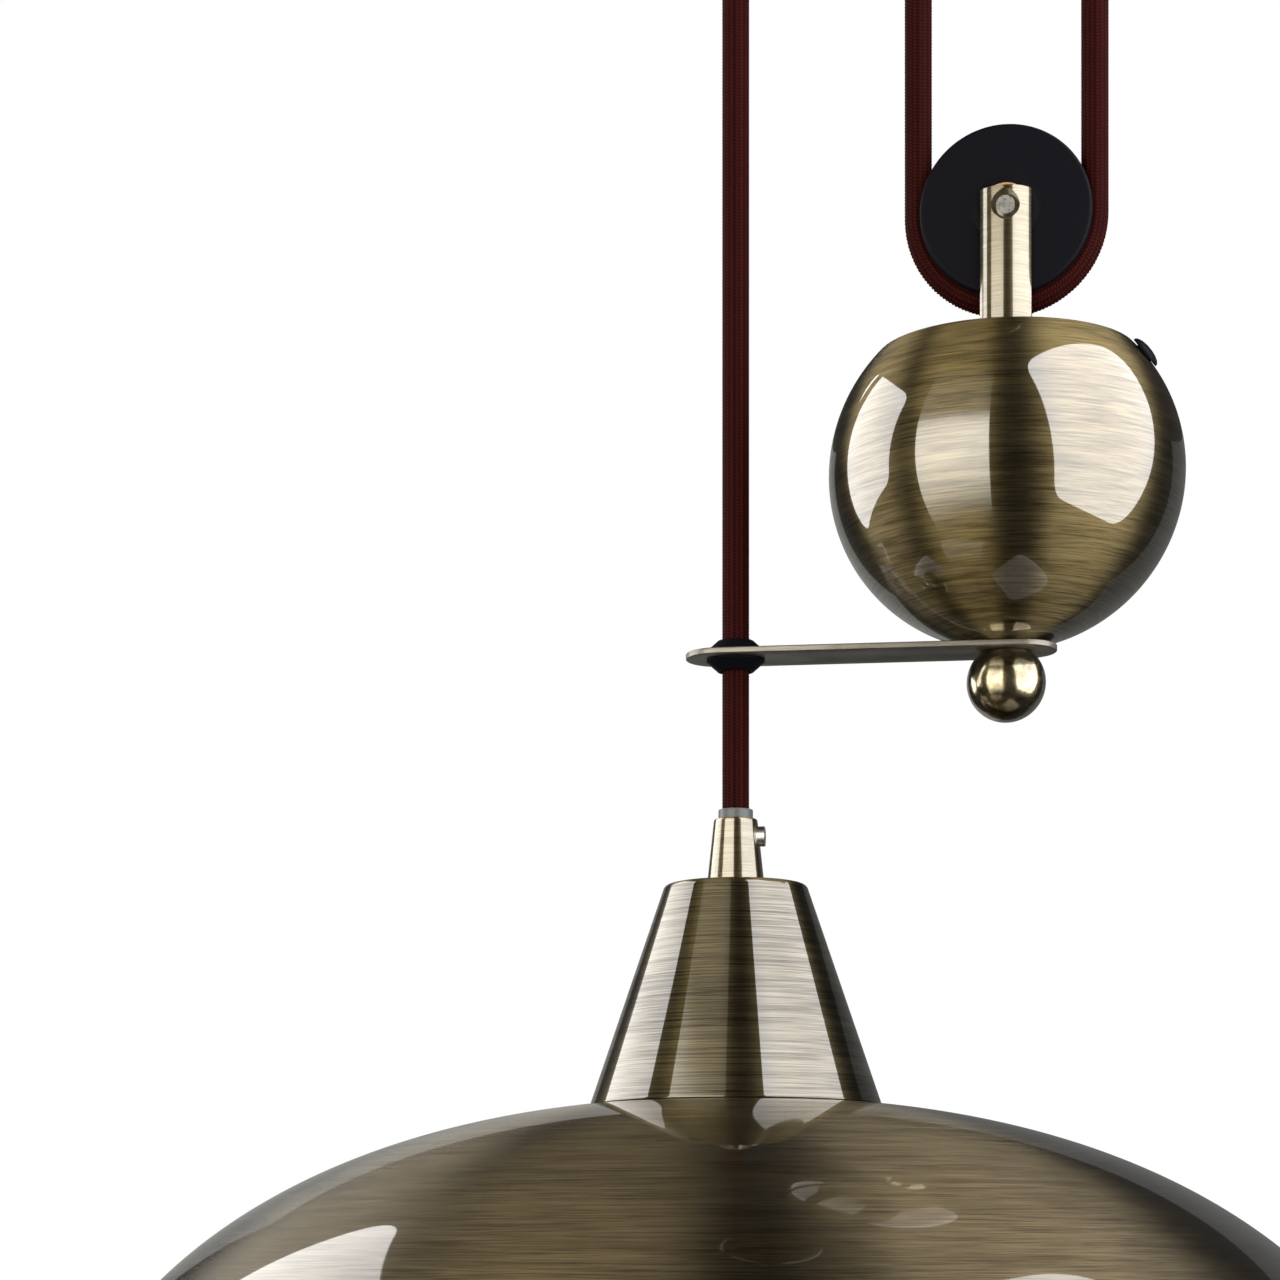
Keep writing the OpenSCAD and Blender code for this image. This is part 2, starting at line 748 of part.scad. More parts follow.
module fork() {
    screw_reach = leg_y + fork_t + 1;
    color([0.72, 0.64, 0.46])
        translate([weight_x, 0, 0])
            difference() {
                union() {
                    translate([0, 0, fork_base_z]) cylinder(d = fork_base_d, h = fork_base_t);
                    for (turn = [0, 180])
                        rotate([0, 0, turn])
                            fork_leg(fork_base_z + 1, weight_axle_z + fork_over_axle, 0);
                }
                translate([0, 0, fork_base_z - 1])
                    cylinder(r = stud_r + press_clear, h = fork_base_t + 2);
                translate([0, 0, weight_axle_z])
                    along_y(axle_screw_r + press_clear, -screw_reach, 2 * screw_reach);
                for (turn = [0, 180])
                    rotate([0, 0, turn])
                        translate([0, 0, weight_axle_z]) {
                            along_y(recess_r, leg_y + fork_t - recess_t, recess_t + 1);
                            translate([0, leg_y + fork_t + 0.01, 0])
                                rotate([90, 0, 0])
                                    cylinder(r1 = recess_r + recess_bevel, r2 = recess_r,
                                        h = recess_bevel);
                        }
            }
}

module weight_axle() {
    color("silver")
        translate([weight_x, 0, weight_axle_z])
            difference() {
                along_y(axle_r, -leg_y, 2 * leg_y);
                along_y(axle_screw_r + press_clear, -leg_y - 1, 2 * leg_y + 2);
            }
}

module weight_axle_screws() {
    seat_y = leg_y + fork_t - recess_t;
    color("silver")
        for (turn = [0, 180])
            translate([weight_x, 0, weight_axle_z])
                rotate([0, 0, turn])
                    difference() {
                        union() {
                            along_y(axle_screw_head_r, seat_y, axle_screw_head_t);
                            along_y(axle_screw_r, seat_y - 5, 5);
                        }
                        translate([0, seat_y + axle_screw_head_t, 0])
                            for (size = [[cross_l, cross_w], [cross_w, cross_l]])
                                cube([size[0], 2 * cross_t, size[1]], center = true);
                    }
}

module weight_washers() {
    color("goldenrod")
        translate([weight_x, 0, weight_axle_z]) thrust_washers();
}

module filler_place(lift) {
    translate([weight_x, 0, ball_z])
        rotate([0, 0, plug_turn])
            rotate([0, 90 - plug_lift, 0])
                translate([0, 0, plug_seat + lift]) children();
}

module ball_shell() {
    inner_a = ball_a - ball_t;
    inner_b = ball_b - ball_t;
    inner_rim = asin(rim_lift / inner_b);
    inner_foot = asin((ball_flat + 0.4 - inner_b) / inner_b);
    color([0.62, 0.52, 0.32])
        difference() {
            translate([weight_x, 0, ball_z])
                rotate_extrude()
                    polygon(concat(
                        [[stud_r + fit_clear, ball_flat - ball_b]],
                        [for (i = [0 : ball_steps])
                            ellipse_point(ball_a, ball_b,
                                foot_angle + (rim_angle - foot_angle) * i / ball_steps)],
                        [for (i = [ball_steps : -1 : 0])
                            ellipse_point(inner_a, inner_b,
                                inner_foot + (inner_rim - inner_foot) * i / ball_steps)],
                        [[stud_r + fit_clear, ball_flat + 0.4 - inner_b]]));
            filler_place(-plug_shank_l - 1)
                cylinder(r = plug_shank_r + run_clear, h = plug_shank_l + 3);
        }
}

module ball_lid() {
    inner_a = ball_a - ball_t;
    inner_b = ball_b - ball_t;
    low = lid_top_z - ball_z - lid_t;
    high = lid_top_z - ball_z;
    low_r = inner_a * sqrt(1 - pow(low / inner_b, 2)) - press_clear;
    high_r = inner_a * sqrt(1 - pow(high / inner_b, 2)) - press_clear;
    color([0.62, 0.52, 0.32])
        translate([weight_x, 0, 0])
            difference() {
                translate([0, 0, lid_top_z - lid_t])
                    cylinder(r1 = low_r, r2 = high_r, h = lid_t);
                for (turn = [0, 180])
                    rotate([0, 0, turn]) fork_leg(lid_top_z - lid_t - 1, lid_top_z + 1, fit_clear);
            }
}

module ballast() {
    a = ball_a - ball_t - fit_clear;
    b = ball_b - ball_t - fit_clear;
    low = asin((ball_flat + 0.8 - b) / b);
    high = asin((fork_base_z - ball_z) / b);
    bore_r = stud_r + fit_clear;
    color([0.25, 0.25, 0.26])
        translate([weight_x, 0, ball_z])
            rotate_extrude()
                polygon(concat(
                    [[bore_r, b * sin(low)]],
                    [for (i = [0 : ball_steps])
                        ellipse_point(a, b, low + (high - low) * i / ball_steps)],
                    [[bore_r, b * sin(high)]]));
}

module centre_stud() {
    color("silver")
        translate([weight_x, 0, stud_end_z])
            cylinder(r = stud_r, h = fork_base_top_z - stud_end_z);
}

module filler_plug() {
    dome_r = (pow(plug_r, 2) + pow(plug_dome, 2)) / (2 * plug_dome);
    color([0.05, 0.05, 0.05])
        filler_place(press_clear) {
            intersection() {
                translate([0, 0, plug_dome - dome_r]) sphere(r = dome_r);
                cylinder(r = plug_r + 1, h = plug_dome + 1);
            }
            translate([0, 0, -plug_shank_l]) cylinder(r = plug_shank_r, h = plug_shank_l);
        }
}

module guide_arm() {
    beyond = arm_overhang - arm_w / 2;
    color([0.62, 0.52, 0.32])
        translate([0, 0, finial_top_z])
            difference() {
                union() {
                    for (x = [lamp_x - beyond, weight_x + beyond])
                        translate([x, 0, 0]) cylinder(d = arm_w, h = arm_t);
                    translate([lamp_x - beyond, -arm_w / 2, 0])
                        cube([arm_reach + 2 * beyond, arm_w, arm_t]);
                }
                translate([lamp_x, 0, -1]) cylinder(d = arm_eye_d, h = arm_t + 2);
                translate([weight_x, 0, -1]) cylinder(r = stud_r + fit_clear, h = arm_t + 2);
            }
}

// Black bush in the strap's eye, with a cone on either side of the strap
module eye_bush() {
    bore_r = cord_r + cord_clear;
    lip_z = arm_t / 2 + press_clear;
    half = [
        [eye_r - press_clear, lip_z],
        [eye_r + eye_bush_lip, lip_z],
        [eye_r + eye_bush_lip, lip_z + eye_bush_edge],
        [bore_r + eye_bush_wall, lip_z + eye_bush_h],
        [bore_r, lip_z + eye_bush_h]];
    color([0.05, 0.05, 0.05])
        translate([lamp_x, 0, finial_top_z + arm_t / 2])
            rotate_extrude()
                polygon(concat(half, [for (i = [len(half) - 1 : -1 : 0]) [half[i][0], -half[i][1]]]));
}

module finial() {
    color([0.62, 0.52, 0.32])
        translate([weight_x, 0, finial_z])
            difference() {
                sphere(d = finial_d);
                translate([-finial_d, -finial_d, finial_flat])
                    cube([2 * finial_d, 2 * finial_d, finial_d]);
                translate([0, 0, finial_flat - finial_thread])
                    cylinder(r = stud_r + press_clear, h = finial_thread + 1);
            }
}

// Lamp

module cord_sleeve() {
    color([0.75, 0.75, 0.73])
        translate([lamp_x, 0, grip_top_z - sleeve_in])
            ring(sleeve_r, cord_r + cord_clear, sleeve_in + sleeve_proud);
}

module grip_body() {
    color([0.72, 0.64, 0.46])
        translate([lamp_x, 0, cone_top_z])
            difference() {
                union() {
                    cylinder(d1 = grip_base_d, d2 = grip_top_d, h = grip_h - grip_chamfer);
                    translate([0, 0, grip_h - grip_chamfer])
                        cylinder(d1 = grip_top_d, d2 = grip_top_d - grip_chamfer, h = grip_chamfer);
                }
                translate([0, 0, -1]) cylinder(r = nipple_r + press_clear, h = nipple_up + 1.3);
                translate([0, 0, 1]) cylinder(r = grip_bore_r, h = grip_h);
                translate([0, 0, grip_screw_up])
                    rotate([0, 90, 0]) {
                        cylinder(r = grip_screw_r + press_clear, h = grip_base_d);
                        translate([0, 0, grip_screw_seat - press_clear])
                            cylinder(r = grip_screw_d / 2 + fit_clear / 2, h = grip_base_d);
                    }
            }
}

module grip_screw() {
    color("silver")
        translate([lamp_x + grip_screw_seat, 0, grip_screw_z])
            rotate([0, 90, 0])
                slotted_screw(grip_screw_d / 2, grip_screw_head_t, grip_screw_r,
                    grip_screw_seat - sleeve_r - run_clear);
}

module grip_nipple() {
    color("goldenrod")
        translate([lamp_x, 0, cap_top_z - nipple_in_cap])
            ring(nipple_r, nipple_r - nipple_wall, cone_top_z - cap_top_z + nipple_in_cap + nipple_up);
}

module cone_cover() {
    bend = (90 + cone_slope) / 2;
    centre_r = cone_top_r - cone_round / tan(bend);
    hole_r = nipple_r + fit_clear;
    inner_round = max(cone_round - cone_t, 0.1);
    lower = cone_t / cos(cone_slope);
    arc = [for (i = [0 : 4]) 90 + (cone_slope - 90) * i / 4];
    color([0.72, 0.66, 0.5])
        translate([lamp_x, 0, cone_base_z])
            rotate_extrude()
                polygon(concat(
                    [[hole_r, cone_h]],
                    [for (t = arc) [centre_r + cone_round * cos(t), cone_h - cone_round + cone_round * sin(t)]],
                    [[cone_r, 0], [cone_r - lower, 0]],
                    [for (i = [4 : -1 : 0])
                        [centre_r + inner_round * cos(arc[i]),
                            cone_h - cone_round + inner_round * sin(arc[i])]],
                    [[hole_r, cone_h - cone_round + inner_round]]));
}

module cone_locknut() {
    seat_z = cone_top_z - min(cone_t, cone_round - 0.1) - press_clear;
    color("silver")
        translate([lamp_x, 0, seat_z - nut_t])
            difference() {
                cylinder(d = nut_af / cos(30), h = nut_t, $fn = fn_hex);
                translate([0, 0, -1]) cylinder(r = nipple_r + press_clear, h = nut_t + 2);
            }
}

module lampholder_cap() {
    boss_h = 4;
    shoulder = 6;
    color([0.1, 0.1, 0.1])
        translate([lamp_x, 0, cap_base_z])
            rotate_extrude()
                polygon([
                    [nipple_r + press_clear, cap_h],
                    [cap_top_r, cap_h],
                    [cap_top_r + 1, cap_h - boss_h],
                    [skirt_r - 5, cap_h - boss_h - 2],
                    [skirt_r - 1, shoulder],
                    [skirt_r, shoulder - 3],
                    [skirt_r, 0],
                    [skirt_r - cap_wall, 0],
                    [skirt_r - cap_wall, shoulder - 4],
                    [skirt_r - cap_wall - 1, shoulder - 1],
                    [skirt_r - cap_wall - 5, cap_h - boss_h - 4],
                    [nipple_r + press_clear, cap_h - boss_h - 4]]);
}

module lampholder_skirt() {
    color([0.1, 0.1, 0.1])
        translate([lamp_x, 0, land_z])
            difference() {
                union() {
                    translate([0, 0, -skirt_below])
                        cylinder(r = skirt_r, h = skirt_below + skirt_up - press_clear);
                    cylinder(r = flange_r, h = flange_t);
                }
                translate([0, 0, -skirt_below - 1])
                    cylinder(r = skirt_r - skirt_wall, h = skirt_below + skirt_up + 2);
            }
}

module lampholder_insert() {
    color("ivory")
        translate([lamp_x, 0, 0])
            difference() {
                translate([0, 0, insert_foot_z])
                    cylinder(r = insert_r, h = insert_top_z - insert_foot_z);
                translate([0, 0, insert_foot_z - 1])
                    cylinder(r = insert_bore_r, h = shell_top_z + contact_room - insert_foot_z + 1);
                translate([0, 0, shell_top_z - 1])
                    cylinder(r = contact_post_r + press_clear, h = insert_top_z - shell_top_z + 2);
            }
}

module screw_shell() {
    color("goldenrod")
        translate([lamp_x, 0, shell_top_z - screw_shell_h])
            ring(shell_r + shell_t, shell_r, screw_shell_h);
}

module lampholder_contacts() {
    color("goldenrod")
        translate([lamp_x, 0, 0]) {
            translate([0, 0, contact_z]) cylinder(r = contact_r, h = contact_t);
            translate([0, 0, contact_z]) cylinder(r = contact_post_r, h = insert_top_z - contact_z);
        }
}

module lampholder_terminals() {
    color("goldenrod")
        for (y = [-terminal_y, terminal_y])
            translate([lamp_x, y, insert_top_z]) cylinder(r = terminal_r, h = terminal_h);
}

module lamp_leads() {
    color("saddlebrown")
        translate([lamp_x, 0, 0])
            for (turn = [-90, 90]) rotate([0, 0, turn]) tube(lead_route, lead_r);
}

module shade_ring() {
    ring_top_z = land_z - shade_t - dome_drop(land_r, shade_r - shade_t, shade_h - shade_t)
        + dome_drop(land_r, shade_r, shade_h) - press_clear;
    color([0.1, 0.1, 0.1])
        translate([lamp_x, 0, ring_top_z - shade_ring_h])
            difference() {
                union() {
                    cylinder(r = skirt_r + 3, h = shade_ring_h);
                    translate([0, 0, shade_ring_h - 2.5]) cylinder(d = shade_ring_d, h = 2.5);
                }
                translate([0, 0, -1]) cylinder(r = skirt_r + press_clear, h = shade_ring_h + 2);
            }
}

module shade() {
    inner_r = shade_r - shade_t;
    inner_h = shade_h - shade_t;
    hole_r = skirt_r + fit_clear;
    color([0.6, 0.5, 0.3])
        translate([lamp_x, 0, apex_z]) {
            rotate_extrude()
                polygon(concat(
                    [[hole_r, -dome_drop(land_r, shade_r, shade_h)]],
                    [for (i = [0 : shade_steps])
                        let (r = dome_radius(i, shade_r)) [r, -dome_drop(r, shade_r, shade_h)]],
                    [for (i = [shade_steps : -1 : 0])
                        let (r = dome_radius(i, inner_r))
                            [r, -shade_t - dome_drop(r, inner_r, inner_h)]],
                    [[hole_r, -shade_t - dome_drop(land_r, inner_r, inner_h)]]));
            rotate_extrude()
                translate([shade_r - shade_t / 2, -shade_h]) circle(d = bead_d);
        }
}

ceiling_plate();
plate_ears();
wheel_hanger();
hanger_rivets();
canopy_axle();
axle_clip();
canopy_washers();
canopy_wheel();
canopy_wheel_bush();
canopy_cup();
canopy_screws();
cord_bushes();
cord_anchor();
anchor_screws();
terminal_block();
terminal_screws();
earth_screw();
canopy_cord();
cord_tail();
lamp_cord();
weight_cord();
weight_wheel();
weight_wheel_bush();
fork();
weight_axle();
weight_axle_screws();
weight_washers();
ball_shell();
ball_lid();
ballast();
centre_stud();
filler_plug();
guide_arm();
eye_bush();
finial();
cord_sleeve();
grip_body();
grip_screw();
grip_nipple();
cone_cover();
cone_locknut();
lampholder_cap();
lampholder_skirt();
lampholder_insert();
screw_shell();
lampholder_contacts();
lampholder_terminals();
lamp_leads();
shade_ring();
shade();
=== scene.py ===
"""Rise and fall pendant, dressed and lit as in its photograph.

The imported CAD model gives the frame, the bodies and the plain pieces. This file adds the finely
turned pieces, the braided cord, every finish, the studio light and the camera. Sizes inside the
piece classes are millimetres in the CAD frame; Mesher and cut_plate turn them into metres.
"""
import logging
import math
from dataclasses import dataclass, field
from enum import Enum
from typing import Callable, Iterable, Self, Sequence

import bmesh
import bpy
from mathutils import Matrix, Vector


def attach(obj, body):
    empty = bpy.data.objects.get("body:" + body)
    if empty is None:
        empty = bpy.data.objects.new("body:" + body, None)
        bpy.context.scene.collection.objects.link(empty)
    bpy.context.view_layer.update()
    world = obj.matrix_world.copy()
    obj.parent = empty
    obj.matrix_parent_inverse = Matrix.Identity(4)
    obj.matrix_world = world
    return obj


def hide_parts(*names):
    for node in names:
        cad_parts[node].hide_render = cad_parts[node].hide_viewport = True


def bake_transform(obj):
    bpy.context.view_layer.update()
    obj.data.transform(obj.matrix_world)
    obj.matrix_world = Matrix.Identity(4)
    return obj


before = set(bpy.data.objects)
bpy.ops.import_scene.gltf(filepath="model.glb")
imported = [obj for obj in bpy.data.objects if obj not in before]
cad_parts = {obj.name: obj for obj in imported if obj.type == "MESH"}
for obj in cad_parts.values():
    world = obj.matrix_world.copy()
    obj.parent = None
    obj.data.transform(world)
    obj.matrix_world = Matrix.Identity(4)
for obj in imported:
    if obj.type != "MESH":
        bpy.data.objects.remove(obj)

LOG = logging.getLogger("pendant")
MM = 0.001

# Turned pieces: edges longer than HELD_EDGE get extra points HELD_END from both ends (mm).
HELD_EDGE = 3.0
HELD_END = 0.3
# Points closer than this are one: on a mesh (m) and on a cord's route (mm).
DOUBLED = 1e-7
JOINED = 0.01
# Flat plates: edges steeper than this many degrees stay sharp, and faces round each edge.
PLATE_SHARP = 32.0
PLATE_EDGE_STEPS = 3
# How much of its colour dirty metal keeps.
DIRTY = 0.45

Point = tuple[float, float]
Colour = tuple[float, float, float]


class Body(str, Enum):
    """The moving bodies that the CAD model defines."""

    CANOPY = "canopy"
    UPPER_WHEEL = "upper_wheel"
    COUNTERWEIGHT = "counterweight"
    LOWER_WHEEL = "lower_wheel"
    LAMP = "lamp"


class Slot(str, Enum):
    """The record's material slots."""

    ANTIQUE_BRASS = "antique_brass"
    PALE_BRASS = "pale_brass"
    ZINC_STEEL = "zinc_steel"
    SPRING_STEEL = "spring_steel"
    BRONZE = "bronze"
    CONTACT_BRASS = "contact_brass"
    BLACK_PLASTIC = "black_plastic"
    GREY_PLASTIC = "grey_plastic"
    WHITE_PLASTIC = "white_plastic"
    PORCELAIN = "porcelain"
    IRON = "iron"
    BRAID = "braid"
    LEAD_SHEATH = "lead_sheath"


@dataclass(frozen=True)
class Plan:
    """Places shared by several pieces, at rest, in millimetres."""

    lamp_x: float = -42.65
    weight_x: float = 21.85
    near_x: float = 1.05
    far_x: float = 42.65
    canopy_wheel_x: float = -20.8
    canopy_wheel_z: float = -31.0
    canopy_pitch_r: float = 21.85
    weight_axle_z: float = -427.2
    weight_pitch_r: float = 20.8
    canopy_wheel_r: float = 21.3
    weight_wheel_r: float = 20.25
    ball_z: float = -488.6
    cone_top_z: float = -584.8
    cone_base_z: float = -637.6
    apex_z: float = -636.126
    cord_end_z: float = -604.25
    runs_meet: float = 0.5
    tail_rise: float = 3.0
    tail_bend_r: float = 14.0
    tail_end_x: float = 19.95
    stretch_from_z: float = -62.0
    lamp_holds_z: float = -560.0
    ball_holds_z: float = -400.0


PLAN = Plan()


# ---------------------------------------------------------------- shader graph


class Wire:
    """A shader value. Arithmetic on it adds the node that works it out."""

    MATHS = ""

    def __init__(self, graph: "Graph", socket: bpy.types.NodeSocket) -> None:
        self.graph = graph
        self.socket = socket

    def _op(self, kind: str, *terms: object) -> Self:
        """A value of the same kind from one maths node."""
        return type(self)(self.graph, self.graph.node(self.MATHS, {"operation": kind}, *terms))

    def __add__(self, other: object) -> Self:
        return self._op("ADD", self, other)

    def __radd__(self, other: object) -> Self:
        return self._op("ADD", other, self)

    def __sub__(self, other: object) -> Self:
        return self._op("SUBTRACT", self, other)

    def __rsub__(self, other: object) -> Self:
        return self._op("SUBTRACT", other, self)

    def __mul__(self, other: object) -> Self:
        return self._op("MULTIPLY", self, other)

    def __rmul__(self, other: object) -> Self:
        return self._op("MULTIPLY", other, self)

    def __truediv__(self, other: object) -> Self:
        return self._op("DIVIDE", self, other)

    def __rtruediv__(self, other: object) -> Self:
        return self._op("DIVIDE", other, self)


class Number(Wire):
    """A single number in a shader."""

    MATHS = "ShaderNodeMath"

    def __pow__(self, other: object) -> "Number":
        return self._op("POWER", self, other)

    def __neg__(self) -> "Number":
        return self._op("MULTIPLY", self, -1.0)

    def ramp(self, low: float, high: float) -> "Number":
        """The value stretched from low..high to 0..1 and held there, with soft ends.

        Args:
            low: The value that becomes 0.
            high: The value that becomes 1.

        Returns:
            The stretched value.
        """
        settings = {"interpolation_type": "SMOOTHSTEP"}
        return Number(self.graph, self.graph.node("ShaderNodeMapRange", settings, self, low, high))


class Triple(Wire):
    """A colour or a vector in a shader."""

    MATHS = "ShaderNodeVectorMath"

    def parts(self) -> tuple[Number, Number, Number]:
        """The three numbers of the vector."""
        node = self.graph.add("ShaderNodeSeparateXYZ", {}, (self,))
        x, y, z = (Number(self.graph, out) for out in node.outputs)
        return x, y, z


class Graph:
    """One material's node tree."""

    def __init__(self, tree: bpy.types.NodeTree) -> None:
        self.tree = tree
        tree.nodes.clear()

    def add(self, kind: str, settings: dict[str, object], inputs: Sequence[object] = (),
            named: dict[str, object] | None = None) -> bpy.types.Node:
        """Adds a node of any kind.

        Args:
            kind: The node type's identifier.
            settings: Attributes set before the sockets.
            inputs: Values or wires for the first sockets, in order.
            named: Values or wires by socket name or index.

        Returns:
            The new node.
        """
        node = self.tree.nodes.new(kind)
        for key, value in settings.items():
            setattr(node, key, value)
        pairs: list[tuple[object, object]] = list(enumerate(inputs))
        pairs += list((named or {}).items())
        for key, value in pairs:
            socket = node.inputs[key]
            if isinstance(value, Wire):
                self.tree.links.new(value.socket, socket)
            elif value is not None:
                socket.default_value = self._fit(socket, value)
        return node

    @staticmethod
    def _fit(socket: bpy.types.NodeSocket, value: object) -> object:
        """A three-part colour gets the alpha that a colour socket wants."""
        if socket.type == "RGBA" and isinstance(value, (tuple, list)) and len(value) == 3:
            return (*value, 1.0)
        return value

    def node(self, kind: str, settings: dict[str, object], *inputs: object,
             output: str | int = 0, **named: object) -> bpy.types.NodeSocket:
        """Adds a node and gives one of its output sockets.

        Args:
            kind: The node type's identifier.
            settings: Attributes set before the sockets.
            *inputs: Values or wires for the first sockets, in order.
            output: Name or index of the wanted output.
            **named: Values or wires by socket name, with _ for a space.

        Returns:
            The output socket.
        """
        spaced = {key.replace("_", " "): value for key, value in named.items()}
        return self.add(kind, settings, inputs, spaced).outputs[output]

    def place(self) -> Triple:
        """The point on the piece, in metres in the CAD frame at rest."""
        return Triple(self, self.node("ShaderNodeTexCoord", {}, output="Object"))

    def noise(self, where: Triple, scale: float, detail: float = 2.0, rough: float = 0.5,
              bend: float = 0.0) -> Number:
        """Smooth noise around 0.5 at a place.

        Args:
            where: Where it is read.
            scale: Waves per unit of that place.
            detail: Finer layers on top.
            rough: Strength of those layers.
            bend: How far the pattern is pulled about.

        Returns:
            The noise value.
        """
        return Number(self, self.node("ShaderNodeTexNoise", {}, Vector=where, Scale=scale,
                                      Detail=detail, Roughness=rough, Distortion=bend))

    def vector(self, x: object, y: object, z: object) -> Triple:
        """Three numbers as one vector."""
        return Triple(self, self.node("ShaderNodeCombineXYZ", {}, x, y, z))

    def blend(self, share: Number | float, first: object, second: object) -> Triple:
        """Mixes two colours.

        Args:
            share: How much of the second colour.
            first: Colour at share 0.
            second: Colour at share 1.

        Returns:
            The mixed colour.
        """
        node = self.add("ShaderNodeMix", {"data_type": "RGBA"}, (),
                        {0: share, 6: first, 7: second})
        return Triple(self, node.outputs[2])

    def attribute(self, name: str) -> Number:
        """A number stored on the mesh's points."""
        return Number(self, self.node("ShaderNodeAttribute", {"attribute_name": name},
                                      output="Fac"))

    def bump(self, height: Number, distance: float) -> Triple:
        """A surface normal raised by a height.

        Args:
            height: The height, from 0 to 1.
            distance: What a height of 1 is, in metres.

        Returns:
            The normal.
        """
        return Triple(self, self.node("ShaderNodeBump", {}, Strength=1.0, Distance=distance,
                                      Height=height))

    def surface(self, constants: dict[str, object], varying: dict[str, object]) -> None:
        """Ends the tree in one principled surface.

        Args:
            constants: Fixed socket values.
            varying: Wires for colour, roughness, normal and the like.
        """
        shader = self.add("ShaderNodeBsdfPrincipled", {}, (), {**constants, **varying})
        self.add("ShaderNodeOutputMaterial", {}, (Wire(self, shader.outputs[0]),))


# ------------------------------------------------------------------- finishes


def blank_material(name: str) -> tuple[bpy.types.Material, Graph]:
    """A new material and its empty graph."""
    material = bpy.data.materials.new(name)
    material.use_nodes = True
    return material, Graph(material.node_tree)


def shaded(colour: Colour, share: float) -> Colour:
    """A colour made darker or lighter."""
    return tuple(part * share for part in colour)


@dataclass(frozen=True)
class Finish:
    """A finish that can be put on a piece. Depths of relief in finishes are millimetres."""

    name: str
    slot: Slot

    def material(self) -> bpy.types.Material:
        """The material, made on first use. No CAD material has the same name."""
        found = bpy.data.materials.get(self.name)
        if found:
            return found
        material, graph = blank_material(self.name)
        self.draw(graph)
        return material

    def draw(self, graph: Graph) -> None:
        """Fills the material's tree."""
        raise NotImplementedError

    def put_on(self, obj: bpy.types.Object) -> None:
        """Gives an object this finish."""
        obj.data.materials.clear()
        obj.data.materials.append(self.material())


@dataclass(frozen=True)
class BrushedBrass(Finish):
    """Darkened brass, brushed in rings round an upright axis and lacquered."""

    axis_x: float = 0.0
    dark: Colour = (0.055, 0.040, 0.014)
    light: Colour = (0.185, 0.140, 0.056)
    by_radius: float = 0.0
    streak: float = 0.36
    reach: float = 9.0
    roughness: float = 0.5
    anisotropy: float = 0.97
    rotation: float = 0.25
    coat: float = 1.0
    coat_wear: float = 0.25
    coat_ior: float = 2.0
    coat_roughness: float = 0.035
    depth: float = 0.012
    broad_reach: float = 0.35
    broad_streak: float = 7.0
    cloud: float = 38.0
    shares: tuple[float, float, float] = (0.62, 0.23, 0.15)
    tone_ends: tuple[float, float] = (0.33, 0.67)
    scratch_stretch: tuple[float, float, float] = (0.5, 0.5, 0.55)
    scratch_ends: tuple[float, float] = (0.70, 0.80)
    scratch_shows: float = 0.55
    fine_rough: float = 0.16
    broad_rough: float = 0.08

    def draw(self, graph: Graph) -> None:
        """Brush lines as long thin noise that follows the turning direction."""
        x, y, z = graph.place().parts()
        dx = x - self.axis_x * MM
        across = z - (dx * dx + y * y) ** 0.5 * self.by_radius
        long_way = 1.0 / (self.reach * MM)
        fine = graph.vector(dx * long_way, y * long_way, across / (self.streak * MM))
        broad = graph.vector(dx * long_way * self.broad_reach, y * long_way * self.broad_reach,
                             across / (self.streak * self.broad_streak * MM))
        lines = graph.noise(fine, 1.0, detail=3.0, rough=0.62, bend=0.12)
        bands = graph.noise(broad, 1.0, detail=2.0, rough=0.5)
        cloud = graph.noise(graph.place(), self.cloud, detail=3.0, rough=0.55)
        of_lines, of_bands, of_cloud = self.shares
        tone = (lines * of_lines + bands * of_bands + cloud * of_cloud).ramp(*self.tone_ends)
        scratch = graph.noise(fine * self.scratch_stretch, 1.0, detail=1.0)
        colour = graph.blend(tone, self.dark, self.light)
        worn = graph.blend(scratch.ramp(*self.scratch_ends) * self.scratch_shows, colour,
                           shaded(self.dark, DIRTY))
        steady = self.roughness - (self.fine_rough + self.broad_rough) / 2
        graph.surface(
            {"Metallic": 1.0, "Anisotropic": self.anisotropy,
             "Anisotropic Rotation": self.rotation, "Coat IOR": self.coat_ior,
             "Coat Roughness": self.coat_roughness},
            {"Base Color": worn,
             "Coat Weight": (tone * self.coat_wear + (1.0 - self.coat_wear)) * self.coat,
             "Roughness": (lines * self.fine_rough + bands * self.broad_rough) + steady,
             "Normal": graph.bump(lines, self.depth * MM)})


